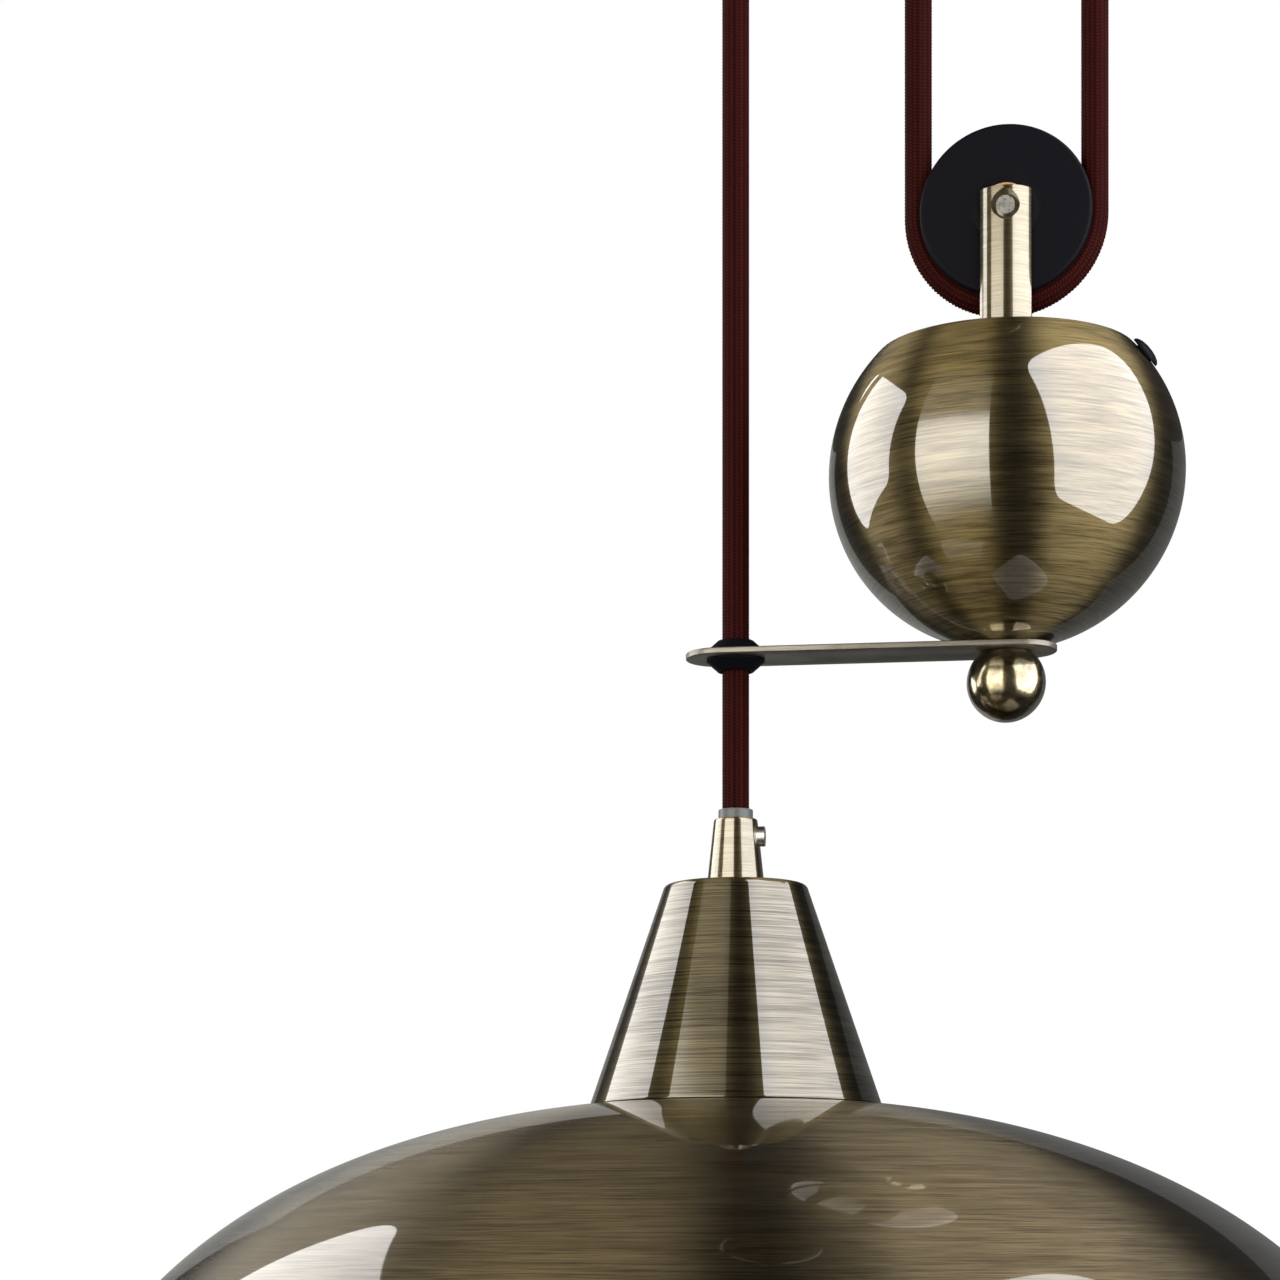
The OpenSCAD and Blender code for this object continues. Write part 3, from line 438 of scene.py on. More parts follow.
@dataclass(frozen=True)
class CastBrass(Finish):
    """Small turned or cast brass with a slightly mottled skin."""

    dark: Colour = (0.10, 0.08, 0.038)
    light: Colour = (0.36, 0.30, 0.17)
    mottle: float = 700.0
    large_mottle: float = 0.3
    relief_shares: tuple[float, float] = (0.4, 0.6)
    tone_ends: tuple[float, float] = (0.35, 0.66)
    coat_ior: float = 1.7
    coat_roughness: float = 0.06
    least_rough: float = 0.13
    more_rough: float = 0.16
    depth: float = 0.04

    def draw(self, graph: Graph) -> None:
        """Two sizes of mottle under the lacquer."""
        small = graph.noise(graph.place(), self.mottle, detail=4.0, rough=0.6)
        large = graph.noise(graph.place(), self.mottle * self.large_mottle, detail=2.0)
        of_small, of_large = self.relief_shares
        tone = (small * 0.5 + large * 0.5).ramp(*self.tone_ends)
        graph.surface(
            {"Metallic": 1.0, "Coat Weight": 1.0, "Coat IOR": self.coat_ior,
             "Coat Roughness": self.coat_roughness},
            {"Base Color": graph.blend(tone, self.dark, self.light),
             "Roughness": small * self.more_rough + self.least_rough,
             "Normal": graph.bump(large * of_large + small * of_small, self.depth * MM)})


@dataclass(frozen=True)
class PlainMetal(Finish):
    """Stamped or turned metal with faint wear."""

    colour: Colour = (0.55, 0.55, 0.53)
    roughness: float = 0.28
    grain: float = 900.0
    grain_rough: float = 0.2
    dirt_size: float = 0.08
    dirt_ends: tuple[float, float] = (0.45, 0.75)
    dirt_shows: float = 0.35
    depth: float = 0.01

    def draw(self, graph: Graph) -> None:
        """A fine grain in colour and roughness."""
        grain = graph.noise(graph.place(), self.grain, detail=4.0, rough=0.6)
        dirt = graph.noise(graph.place(), self.grain * self.dirt_size, detail=3.0)
        shown = dirt.ramp(*self.dirt_ends) * self.dirt_shows
        graph.surface(
            {"Metallic": 1.0},
            {"Base Color": graph.blend(shown, self.colour, shaded(self.colour, DIRTY)),
             "Roughness": grain * self.grain_rough + (self.roughness - self.grain_rough / 2),
             "Normal": graph.bump(grain, self.depth * MM)})


@dataclass(frozen=True)
class Moulded(Finish):
    """Moulded plastic or glazed ceramic."""

    colour: Colour = (0.02, 0.02, 0.024)
    roughness: float = 0.35
    grain: float = 1400.0
    grain_rough: float = 0.12
    patches: float = 60.0
    patch_shade: float = 0.88
    depth: float = 0.006
    coat: float = 0.0
    coat_roughness: float = 0.05
    specular: float = 0.5

    def draw(self, graph: Graph) -> None:
        """A faint orange-peel skin."""
        skin = graph.noise(graph.place(), self.grain, detail=2.0)
        tint = graph.noise(graph.place(), self.patches, detail=2.0)
        graph.surface(
            {"Coat Weight": self.coat, "Coat Roughness": self.coat_roughness,
             "Specular IOR Level": self.specular},
            {"Base Color": graph.blend(tint, shaded(self.colour, self.patch_shade), self.colour),
             "Roughness": skin * self.grain_rough + (self.roughness - self.grain_rough / 2),
             "Normal": graph.bump(skin, self.depth * MM)})


@dataclass(frozen=True)
class Rough(Finish):
    """Raw casting."""

    colour: Colour = (0.07, 0.065, 0.06)
    grain: float = 420.0
    crests: float = 2.2
    metallic: float = 0.6
    least_rough: float = 0.5
    more_rough: float = 0.3
    depth: float = 0.2

    def draw(self, graph: Graph) -> None:
        """Coarse grain with pits."""
        grain = graph.noise(graph.place(), self.grain, detail=6.0, rough=0.7)
        graph.surface(
            {"Metallic": self.metallic},
            {"Base Color": graph.blend(grain, self.colour, shaded(self.colour, self.crests)),
             "Roughness": grain * self.more_rough + self.least_rough,
             "Normal": graph.bump(grain, self.depth * MM)})


@dataclass(frozen=True)
class Textile(Finish):
    """Plaited rayon cover of a cord."""

    # The plait's valleys are painted darker than its crests: painted shade between the strands. The random
    # patches also darken towards the valley colour.
    valley: Colour = (0.004, 0.0008, 0.0007)
    crest: Colour = (0.044, 0.0065, 0.0055)
    fibres: float = 5200.0
    patches: float = 160.0
    patch_shows: float = 0.3
    plait_shade_shows: float = 0.85
    fibre_shows: float = 0.22
    darker: float = 0.08
    # Strands that lean one way are painted lighter than the others: painted sheen.
    lean_sheen_shows: float = 0.25
    least_lean_sheen: float = 0.85
    tone_ends: tuple[float, float] = (0.05, 1.0)
    specular: float = 0.02
    least_rough: float = 0.6
    more_rough: float = 0.2
    depth: float = 0.05

    def draw(self, graph: Graph) -> None:
        """Painted shade in the plait's valleys and a painted sheen on strands of one lean, with fibres along
        each strand.
        """
        height = graph.attribute("plait")
        turn = graph.attribute("lean")
        fibre = graph.noise(graph.place(), self.fibres, detail=3.0, rough=0.7)
        patch = graph.noise(graph.place(), self.patches, detail=2.0)
        # Painted shade: the lower the plait at a spot, the darker the yarn there.
        share = ((height * self.plait_shade_shows + fibre * self.fibre_shows - self.darker)
                 * (turn * self.lean_sheen_shows + self.least_lean_sheen))
        base = graph.blend(share.ramp(*self.tone_ends), self.valley, self.crest)
        graph.surface(
            {"Specular IOR Level": self.specular},
            {"Base Color": graph.blend(patch * self.patch_shows, base, self.valley),
             "Roughness": fibre * self.more_rough + self.least_rough,
             "Normal": graph.bump(fibre, self.depth * MM)})


def brass(name: str, axis_x: float, **more: float | Colour) -> BrushedBrass:
    """The pendant's brushed brass, turned about an upright axis."""
    return BrushedBrass(name, Slot.ANTIQUE_BRASS, axis_x=axis_x, **more)


class Finishes:
    """Every finish that the pendant uses."""

    BALL = brass("brass_ball", PLAN.weight_x, streak=0.3, reach=11.0,
                 dark=(0.045, 0.033, 0.013), light=(0.20, 0.155, 0.068))
    # The dome and the cone are darker copies of the ball's brass: painted shade.
    SHADED_DOME = brass("brass_dome_shaded", PLAN.lamp_x, by_radius=1.0, reach=16.0, streak=0.34,
                 dark=(0.032, 0.025, 0.014), light=(0.118, 0.094, 0.055), coat_ior=1.6)
    SHADED_CONE = brass("brass_cone_shaded", PLAN.lamp_x, streak=0.27, reach=22.0, coat=0.95, coat_wear=0.55,
                 dark=(0.020, 0.015, 0.006), light=(0.125, 0.100, 0.046))
    CANOPY = brass("brass_canopy", 0.0, by_radius=1.0)
    ARM = BrushedBrass("brass_arm", Slot.ANTIQUE_BRASS, dark=(0.11, 0.10, 0.082),
                       light=(0.21, 0.195, 0.165), rotation=0.0, anisotropy=0.2,
                       roughness=0.5, coat=0.2)
    FORK = BrushedBrass("brass_fork", Slot.PALE_BRASS, axis_x=PLAN.weight_x,
                        dark=(0.12, 0.095, 0.045), light=(0.25, 0.205, 0.11), streak=0.3)
    GRIP = BrushedBrass("brass_grip", Slot.PALE_BRASS, axis_x=PLAN.lamp_x,
                        dark=(0.12, 0.095, 0.045), light=(0.27, 0.22, 0.12), streak=0.25)
    FINIAL = CastBrass("brass_cast", Slot.ANTIQUE_BRASS)
    ENAMEL = Moulded("enamel_cream", Slot.ANTIQUE_BRASS, colour=(0.80, 0.78, 0.70),
                     roughness=0.3, coat=0.4)
    ZINC = PlainMetal("zinc_plated", Slot.ZINC_STEEL)
    SPRING = PlainMetal("blued_spring", Slot.SPRING_STEEL, colour=(0.16, 0.16, 0.17))
    BRONZE = PlainMetal("bush_bronze", Slot.BRONZE, colour=(0.50, 0.30, 0.13), roughness=0.42)
    CONTACT = PlainMetal("bright_brass", Slot.CONTACT_BRASS, colour=(0.72, 0.53, 0.24))
    BLACK = Moulded("moulded_black", Slot.BLACK_PLASTIC, colour=(0.0030, 0.0028, 0.0045),
                    roughness=0.5, specular=0.04)
    GREY = Moulded("moulded_grey", Slot.GREY_PLASTIC, colour=(0.075, 0.08, 0.085),
                   specular=0.3)
    WHITE = Moulded("moulded_white", Slot.WHITE_PLASTIC, colour=(0.78, 0.78, 0.74))
    PORCELAIN = Moulded("glazed_ceramic", Slot.PORCELAIN, colour=(0.82, 0.80, 0.74), roughness=0.15,
                        coat=0.6, grain=300.0)
    IRON = Rough("cast_iron", Slot.IRON)
    BRAID = Textile("burgundy_braid", Slot.BRAID)
    SHEATH = Moulded("wire_sheath", Slot.LEAD_SHEATH, colour=(0.16, 0.06, 0.03), roughness=0.5)


# -------------------------------------------------------------------- shaping


def evenly(first: float, last: float, steps: int) -> list[float]:
    """Numbers from first to last in equal steps."""
    return [first + (last - first) * k / steps for k in range(steps + 1)]


def oval(wide: float, tall: float, angles: Iterable[float]) -> list[Point]:
    """Points on an ellipse about the origin, at angles from its wide side."""
    return [(wide * math.cos(t), tall * math.sin(t)) for t in angles]


def shifted(points: Iterable[Point], x: float, y: float) -> list[Point]:
    """Points moved by x and y."""
    return [(x + px, y + py) for px, py in points]


def mirrored(points: Sequence[Point]) -> list[Point]:
    """Outline points repeated below height 0, in the order that closes the outline."""
    return [(r, -z) for r, z in reversed(points)]


def circle(x: float, y: float, radius: float, steps: int = 96) -> list[Point]:
    """Points round a circle."""
    return shifted(oval(radius, radius, evenly(0.0, 2 * math.pi, steps)[:-1]), x, y)


def rounded(outline: Sequence[Point], radii: dict[int, float], steps: int) -> list[Point]:
    """Rounds chosen corners of a closed outline.

    Args:
        outline: Corner points in order.
        radii: Corner index to its radius.
        steps: Points on each rounded corner less one.

    Returns:
        The outline with the corners replaced by arcs.
    """
    result: list[Point] = []
    count = len(outline)
    for i, corner in enumerate(outline):
        radius = radii.get(i, 0.0)
        if radius <= 0:
            result.append(corner)
            continue
        here = Vector(corner)
        back = (Vector(outline[i - 1]) - here).normalized()
        ahead = (Vector(outline[(i + 1) % count]) - here).normalized()
        half = math.acos(max(-1.0, min(1.0, back.dot(ahead)))) / 2
        centre = here + (back + ahead).normalized() * (radius / math.sin(half))
        start = here + back * (radius / math.tan(half)) - centre
        end = here + ahead * (radius / math.tan(half)) - centre
        sweep = start.angle_signed(end)
        for turn in evenly(0.0, -sweep, steps):
            result.append((centre.x + start.x * math.cos(turn) - start.y * math.sin(turn),
                           centre.y + start.x * math.sin(turn) + start.y * math.cos(turn)))
    return result


def upright(x: float, z: float = 0.0) -> Matrix:
    """A place with its axis along Z."""
    return Matrix.Translation((x, 0.0, z))


def across(x: float, z: float) -> Matrix:
    """A place with its axis along -Y, towards the viewer's side."""
    return Matrix.Translation((x, 0.0, z)) @ Matrix.Rotation(math.pi / 2, 4, "X")


class Mesher:
    """Collects one piece's points and faces in millimetres."""

    def __init__(self) -> None:
        self.points: list[Vector] = []
        self.faces: list[tuple[int, ...]] = []
        self.skins: list[int] = []

    def lathe(self, outline: Sequence[Point], place: Matrix, sides: int,
              skins: Callable[[int], int] | None = None) -> "Mesher":
        """Turns a closed outline about a place's Z axis; long edges are held flat at both ends.

        Args:
            outline: Closed (radius, height) outline.
            place: Where the axis is.
            sides: Facets round the axis.
            skins: Outline edge index to the number of its material.

        Returns:
            This mesher.
        """
        base = len(self.points)
        held: list[tuple[Point, int]] = []
        for i, corner in enumerate(outline):
            ahead = outline[(i + 1) % len(outline)]
            length = math.dist(corner, ahead)
            shares = [0.0]
            if length > HELD_EDGE:
                shares += [HELD_END / length, 1.0 - HELD_END / length]
            held += [((corner[0] + (ahead[0] - corner[0]) * share,
                       corner[1] + (ahead[1] - corner[1]) * share), i) for share in shares]
        count = len(held)
        for (radius, height), _ in held:
            self.points += [place @ Vector((*point, height))
                            for point in circle(0.0, 0.0, radius, sides)]
        for i in range(count):
            j = (i + 1) % count
            for k in range(sides):
                n = (k + 1) % sides
                self.faces.append((base + i * sides + k, base + i * sides + n,
                                   base + j * sides + n, base + j * sides + k))
                self.skins.append(skins(held[i][1]) if skins else 0)
        return self

    def grid(self, rings: Sequence[Sequence[Vector]]) -> "Mesher":
        """Joins equal closed rings into a tube with capped ends.

        Args:
            rings: Rings of points, each in the same order.

        Returns:
            This mesher.
        """
        base = len(self.points)
        sides = len(rings[0])
        for ring in rings:
            self.points.extend(ring)
        for i in range(len(rings) - 1):
            for k in range(sides):
                n = (k + 1) % sides
                self.faces.append((base + i * sides + k, base + (i + 1) * sides + k,
                                   base + (i + 1) * sides + n, base + i * sides + n))
        last = base + (len(rings) - 1) * sides
        self.faces.append(tuple(base + k for k in range(sides)))
        self.faces.append(tuple(last + k for k in reversed(range(sides))))
        self.skins += [0] * (len(self.faces) - len(self.skins))
        return self

    def piece(self, name: str, sharp: float) -> bpy.types.Object:
        """Makes the object.

        Args:
            name: The object's name.
            sharp: Edges steeper than this many degrees stay sharp.

        Returns:
            The object, in metres.
        """
        mesh = self.mesh(name)
        mesh.polygons.foreach_set("material_index", self.skins)
        mesh.update()
        finish_faces(mesh, sharp)
        return put_in(name, mesh)

    def mesh(self, name: str) -> bpy.types.Mesh:
        """The bare mesh, in metres."""
        return bare_mesh(name, (p * MM for p in self.points), self.faces)


def bare_mesh(name: str, points: Iterable[Sequence[float]],
              faces: Sequence[tuple[int, ...]]) -> bpy.types.Mesh:
    """A mesh from points in metres and faces."""
    mesh = bpy.data.meshes.new(name)
    mesh.from_pydata([tuple(p) for p in points], [], faces)
    return mesh


def put_in(name: str, data: bpy.types.ID) -> bpy.types.Object:
    """Puts a mesh, curve or camera in the scene."""
    obj = bpy.data.objects.new(name, data)
    bpy.context.scene.collection.objects.link(obj)
    LOG.info("%s made", name)
    return obj


def smooth_faces(mesh: bpy.types.Mesh) -> None:
    """Shades every face smooth."""
    mesh.polygons.foreach_set("use_smooth", [True] * len(mesh.polygons))


def finish_faces(mesh: bpy.types.Mesh, sharp: float) -> None:
    """Drops doubled points, turns faces outwards and smooths all but the sharp edges.

    Args:
        mesh: The mesh, changed in place.
        sharp: Edges steeper than this many degrees stay sharp.
    """
    work = bmesh.new()
    work.from_mesh(mesh)
    bmesh.ops.remove_doubles(work, verts=work.verts, dist=DOUBLED)
    bmesh.ops.recalc_face_normals(work, faces=work.faces)
    work.to_mesh(mesh)
    work.free()
    smooth_faces(mesh)
    mesh.set_sharp_from_angle(angle=math.radians(sharp))


def cut_plate(name: str, outlines: Iterable[Sequence[Point]], low: float, high: float,
              edge: float) -> bpy.types.Object:
    """A flat plate with holes and rounded edges.

    Args:
        name: The object's name.
        outlines: The outer outline and the holes, in millimetres.
        low: Height of its underside.
        high: Height of its top.
        edge: Radius of the edges.

    Returns:
        The plate as a mesh object.
    """
    curve = bpy.data.curves.new(name, "CURVE")
    curve.dimensions = "2D"
    curve.fill_mode = "BOTH"
    curve.bevel_depth = edge * MM
    curve.bevel_resolution = PLATE_EDGE_STEPS
    curve.offset = -edge * MM
    curve.extrude = ((high - low) / 2 - edge) * MM
    for outline in outlines:
        spline = curve.splines.new("POLY")
        spline.points.add(len(outline) - 1)
        for point, (x, y) in zip(spline.points, outline):
            point.co = (x * MM, y * MM, 0.0, 1.0)
        spline.use_cyclic_u = True
    raw = put_in(name + "_raw", curve)
    bpy.context.view_layer.update()
    mesh = bpy.data.meshes.new_from_object(raw.evaluated_get(
        bpy.context.evaluated_depsgraph_get()))
    bpy.data.objects.remove(raw)
    mesh.transform(Matrix.Translation((0, 0, (low + high) / 2 * MM)))
    finish_faces(mesh, PLATE_SHARP)
    return put_in(name, mesh)


# --------------------------------------------------------------- sub-assemblies


class SubAssembly:
    """Pieces that belong together. Each subclass says how they are made and finished."""

    body: Body

    def build(self) -> None:
        """Makes the fine pieces."""

    def dress(self) -> None:
        """Puts finishes on the CAD pieces that stay."""

    def fit(self, obj: bpy.types.Object, finish: Finish, *nodes: str) -> bpy.types.Object:
        """Puts a fine piece in place of CAD nodes.

        Args:
            obj: The fine piece.
            finish: Its finish.
            *nodes: The CAD nodes that it stands for.

        Returns:
            The same object.
        """
        finish.put_on(obj)
        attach(obj, self.body.value)
        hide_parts(*nodes)
        return obj


@dataclass
class Shade(SubAssembly):
    """The spun dome with its rolled rim."""

    radius: float = 166.5
    height: float = 119.0
    power: float = 2.25
    sheet: float = 0.7
    bead_r: float = 2.2
    bead_open: float = 0.17
    bead_steps: int = 28
    bead_outside: int = 24
    bead_covers: float = 0.99
    land_r: float = 30.0
    hole_r: float = 20.2
    steps: int = 150
    body: Body = field(default=Body.LAMP, init=False)

    def drop(self, r: float, a: float, h: float) -> float:
        """How far the dome lies below its apex at a radius."""
        return h * (1 - (1 - min(r / a, 1.0) ** self.power) ** (1 / self.power))

    def side(self, a: float, h: float, top: float) -> list[Point]:
        """The dome's outline from its flat land to the rim bead."""
        bead_top = PLAN.apex_z - self.height + self.bead_r * self.bead_covers
        radii = [self.land_r + (a - self.land_r) * math.sin(turn)
                 for turn in evenly(0.0, math.pi / 2, self.steps)]
        points = [(r, top - self.drop(r, a, h)) for r in radii]
        return [point for point in points if point[1] > bead_top]

    def build(self) -> None:
        """One outline: outside down, round the bead, inside up."""
        outer = self.side(self.radius, self.height, PLAN.apex_z)
        inner = self.side(self.radius - self.sheet, self.height - self.sheet,
                          PLAN.apex_z - self.sheet)
        bead_x, bead_z = self.radius - self.sheet / 2, PLAN.apex_z - self.height
        bead = [(bead_x + self.bead_r * math.sin(t), bead_z + self.bead_r * math.cos(t))
                for t in evenly(self.bead_open, 2 * math.pi - self.bead_open, self.bead_steps)]
        outline = ([(self.hole_r, outer[0][1])] + outer + bead + inner[::-1]
                   + [(self.hole_r, inner[0][1])])
        inside_from = 1 + len(outer) + self.bead_outside
        obj = Mesher().lathe(outline, upright(PLAN.lamp_x), sides=384,
                             skins=lambda i: int(i >= inside_from)).piece("dome_shade", sharp=50)
        self.fit(obj, Finishes.SHADED_DOME, "shade")
        obj.data.materials.append(Finishes.ENAMEL.material())


@dataclass
class Cone(SubAssembly):
    """The cone over the lampholder, with the cord grip on top."""

    top_r: float = 17.0
    base_r: float = 35.0
    hole_r: float = 5.3
    sheet: float = 1.0
    corner: float = 1.6
    lip: float = 0.12
    inner_corner: float = 0.6
    inner_share: float = 0.75
    grip_h: float = 15.8
    grip_foot_r: float = 6.9
    grip_head_r: float = 5.2
    grip_bore_r: float = 4.2
    grip_foot_edge: float = 0.25
    grip_head_edge: float = 0.55
    grip_mouth_edge: float = 0.15
    recess_r: float = 5.1
    recess_h: float = 1.0
    sleeve_r: float = 4.15
    sleeve_bore_r: float = 3.6
    sleeve_hidden: float = 8.5
    sleeve_shown: float = 2.3
    sleeve_edge: float = 0.26
    body: Body = field(default=Body.LAMP, init=False)

    def build(self) -> None:
        """The cone, the tapered grip body and its sleeve."""
        top, base = PLAN.cone_top_z, PLAN.cone_base_z
        run = math.hypot(self.base_r - self.top_r, top - base)
        lower = self.sheet * run / (top - base)
        inner_r = self.top_r - lower * self.inner_share
        outline = [(self.hole_r, top), (self.top_r, top), (self.base_r, base),
                   (self.base_r - lower, base), (inner_r, top - self.sheet),
                   (self.hole_r, top - self.sheet)]
        shaped = rounded(outline, {1: self.corner, 2: self.lip, 4: self.inner_corner}, steps=8)
        cone = Mesher().lathe(shaped, upright(PLAN.lamp_x), sides=320).piece("cone", sharp=50)
        self.fit(cone, Finishes.SHADED_CONE, "cone_cover")

        head, recess = top + self.grip_h, top + self.recess_h
        grip = [(self.grip_bore_r, recess), (self.recess_r, recess), (self.recess_r, top),
                (self.grip_foot_r, top), (self.grip_head_r, head), (self.grip_bore_r, head)]
        edges = {3: self.grip_foot_edge, 4: self.grip_head_edge, 5: self.grip_mouth_edge}
        shaped = rounded(grip, edges, steps=6)
        body = Mesher().lathe(shaped, upright(PLAN.lamp_x), sides=160).piece("grip", sharp=40)
        self.fit(body, Finishes.GRIP, "grip_body")

        low, high = head - self.sleeve_hidden, head + self.sleeve_shown
        sleeve = [(self.sleeve_bore_r, low), (self.sleeve_r, low), (self.sleeve_r, high),
                  (self.sleeve_bore_r, high)]
        shaped = rounded(sleeve, {2: self.sleeve_edge, 3: self.sleeve_edge}, steps=5)
        ring = Mesher().lathe(shaped, upright(PLAN.lamp_x), sides=96).piece("sleeve", sharp=40)
        self.fit(ring, Finishes.GREY, "cord_sleeve")


@dataclass
class Ball(SubAssembly):
    """The counterweight's ball with its finial, filler plug and guide arm."""

    wide: float = 42.0
    tall: float = 41.0
    rim: float = 28.2
    foot: float = 40.6
    sheet: float = 1.2
    foot_sheet: float = 1.0
    rim_edge: float = 0.35
    stud_hole_r: float = 3.3
    finial_r: float = 9.35
    finial_z: float = -537.9
    finial_top: float = -530.7
    finial_bore_r: float = 3.02
    finial_bore_h: float = 9.0
    arm_low: float = -530.7
    arm_high: float = -529.2
    arm_w: float = 17.5
    arm_beyond: float = 3.25
    arm_edge: float = 0.3
    eye_r: float = 5.7
    bush_slack: float = 0.02
    bush_flange_r: float = 6.95
    bush_flange: float = 0.5
    bush_tip_r: float = 4.3
    bush_bore_r: float = 3.6
    bush_rise: float = 2.9
    bush_edges: tuple[float, ...] = (0.15, 0.3, 0.25, 0.2)
    plug_below_rim: float = 4.3
    plug_turn: float = -15.0
    plug_slack: float = 0.02
    plug_r: float = 4.0
    plug_edge: float = 0.25
    plug_crown: float = 1.45
    plug_foot: float = 0.05
    plug_stem_r: float = 2.4
    plug_stem: float = 1.1
    body: Body = field(default=Body.COUNTERWEIGHT, init=False)

    def arc(self, a: float, b: float, low: float, high: float, steps: int) -> list[Point]:
        """Points on an ellipse between two heights, from low to high."""
        return oval(a, b, evenly(math.asin(low / b), math.asin(high / b), steps))

    def build(self) -> None:
        """Ball, finial, plug and arm."""
        floor = -self.foot + self.foot_sheet
        outer = self.arc(self.wide, self.tall, -self.foot, self.rim, 150)
        inner = self.arc(self.wide - self.sheet, self.tall - self.sheet, floor, self.rim, 60)
        outline = ([(self.stud_hole_r, -self.foot)] + outer + inner[::-1]
                   + [(self.stud_hole_r, floor)])
        rim = len(outer)
        shaped = rounded(outline, {rim: self.rim_edge, rim + 1: self.rim_edge}, steps=5)
        ball = Mesher().lathe(shaped, upright(PLAN.weight_x, PLAN.ball_z), sides=320).piece("ball", sharp=60)
        self.fit(ball, Finishes.BALL, "ball_shell")
        self.fit(self.knob(), Finishes.FINIAL, "finial")
        self.fit(self.button(), Finishes.BLACK, "filler_plug")
        arm = cut_plate("arm", [self.strap(), circle(PLAN.lamp_x, 0, self.eye_r),
                                circle(PLAN.weight_x, 0, self.stud_hole_r, 48)],
                        self.arm_low, self.arm_high, self.arm_edge)
        self.fit(arm, Finishes.ARM, "guide_arm")
        self.fit(self.eye_bush(), Finishes.BLACK, "eye_bush")

    def knob(self) -> bpy.types.Object:
        """The round finial, cut flat under the arm and bored for the stud."""
        top = self.finial_top - self.finial_z
        bore = top - self.finial_bore_h
        outline = [(self.finial_bore_r, top)]
        outline += self.arc(self.finial_r, self.finial_r, -self.finial_r, top, 90)[::-1]
        outline += [(0.0, bore), (self.finial_bore_r, bore)]
        place = upright(PLAN.weight_x, self.finial_z)
        return Mesher().lathe(outline, place, sides=160).piece("finial_knob", sharp=50)

    def button(self) -> bpy.types.Object:
        """The domed filler plug with its stem."""
        crown = oval(self.plug_r, self.plug_crown, evenly(math.pi / 2, 0.0, 12)[1:])
        outline = ([(0.0, self.plug_edge + self.plug_crown)] + shifted(crown, 0.0, self.plug_edge)
                   + [(self.plug_r, self.plug_foot), (self.plug_stem_r, 0.0),
                      (self.plug_stem_r, -self.plug_stem), (0.0, -self.plug_stem)])
        return Mesher().lathe(outline, self.plug_place(), sides=64).piece("filler_button", sharp=40)

    def eye_bush(self) -> bpy.types.Object:
        """The black bush in the arm's eye, with a rounded cone above and below."""
        half = (self.arm_high - self.arm_low) / 2 + self.bush_slack
        tip = half + self.bush_rise
        side = [(self.eye_r - self.bush_slack, half), (self.bush_flange_r, half),
                (self.bush_flange_r, half + self.bush_flange), (self.bush_tip_r, tip),
                (self.bush_bore_r, tip)]
        edges = dict(enumerate(self.bush_edges, 1))
        edges |= {2 * len(side) - 1 - corner: edge for corner, edge in edges.items()}
        place = upright(PLAN.lamp_x, (self.arm_high + self.arm_low) / 2)
        shaped = rounded(side + mirrored(side), edges, steps=5)
        return Mesher().lathe(shaped, place, sides=128).piece("arm_bush", sharp=50)

    def strap(self) -> list[Point]:
        """The arm's outline: a strip with round ends."""
        r = self.arm_w / 2
        ends = []
        for x, first in ((PLAN.weight_x + self.arm_beyond, -math.pi / 2),
                         (PLAN.lamp_x - self.arm_beyond, math.pi / 2)):
            ends += shifted(oval(r, r, evenly(first, first + math.pi, 48)), x, 0.0)
        return ends

    def plug_place(self) -> Matrix:
        """Where the filler plug sits on the ball's shoulder."""
        rim_way = math.atan2(self.rim, self.wide * math.sqrt(1 - (self.rim / self.tall) ** 2))
        lift = rim_way - math.asin(self.plug_below_rim / self.wide)
        seat = self.wide * self.tall / math.hypot(self.tall * math.cos(lift),
                                                  self.wide * math.sin(lift))
        return (upright(PLAN.weight_x, PLAN.ball_z)
                @ Matrix.Rotation(math.radians(self.plug_turn), 4, "Z")
                @ Matrix.Rotation(math.pi / 2 - lift, 4, "Y")
                @ Matrix.Translation((0, 0, seat + self.plug_slack)))

    def dress(self) -> None:
        """The fork, lid, ballast and small parts that stay as CAD has them."""
        dress_nodes(Finishes.FORK, "fork")
        dress_nodes(Finishes.ZINC, "weight_axle", "weight_axle_screws", "centre_stud")
        dress_nodes(Finishes.BRONZE, "weight_washers")
        dress_nodes(Finishes.BALL, "ball_lid")
        dress_nodes(Finishes.IRON, "ballast")


@dataclass
class Wheel(SubAssembly):
    """A grooved cord wheel on its bush."""

    name: str
    node: str
    bush: str
    body: Body
    x: float
    z: float
    outer_r: float
    pitch_r: float
    half: float = 5.0
    bore_r: float = 5.02
    groove_r: float = 3.55
    edge: float = 0.9
    ring: tuple[float, float] = (7.5, 8.5)
    ring_slope: float = 0.2
    ring_depth: float = 0.1

    def build(self) -> None:
        """Flanges with rounded rims and a round groove."""
        rise = self.outer_r - self.pitch_r
        first = math.atan2(math.sqrt(self.groove_r ** 2 - rise ** 2), rise)
        groove = shifted(oval(self.groove_r, self.groove_r,
                              evenly(first, 2 * math.pi - first, 24)), self.pitch_r, 0.0)
        face, low = self.half, self.half - self.ring_depth
        near, far = self.ring
        front = [(self.bore_r, face), (near, face), (near + self.ring_slope, low),
                 (far - self.ring_slope, low), (far, face), (self.outer_r - self.edge, face)]
        rim = shifted(oval(self.edge, self.edge, evenly(math.pi / 2, 0.0, 8)[1:]),
                      self.outer_r - self.edge, face - self.edge)
        upper = front + rim
        outline = upper + groove + mirrored(upper)
        obj = Mesher().lathe(outline, across(self.x, self.z), sides=256).piece(self.name, sharp=40)
        self.fit(obj, Finishes.BLACK, self.node)

    def dress(self) -> None:
        """The bush."""
        dress_nodes(Finishes.BRONZE, self.bush)


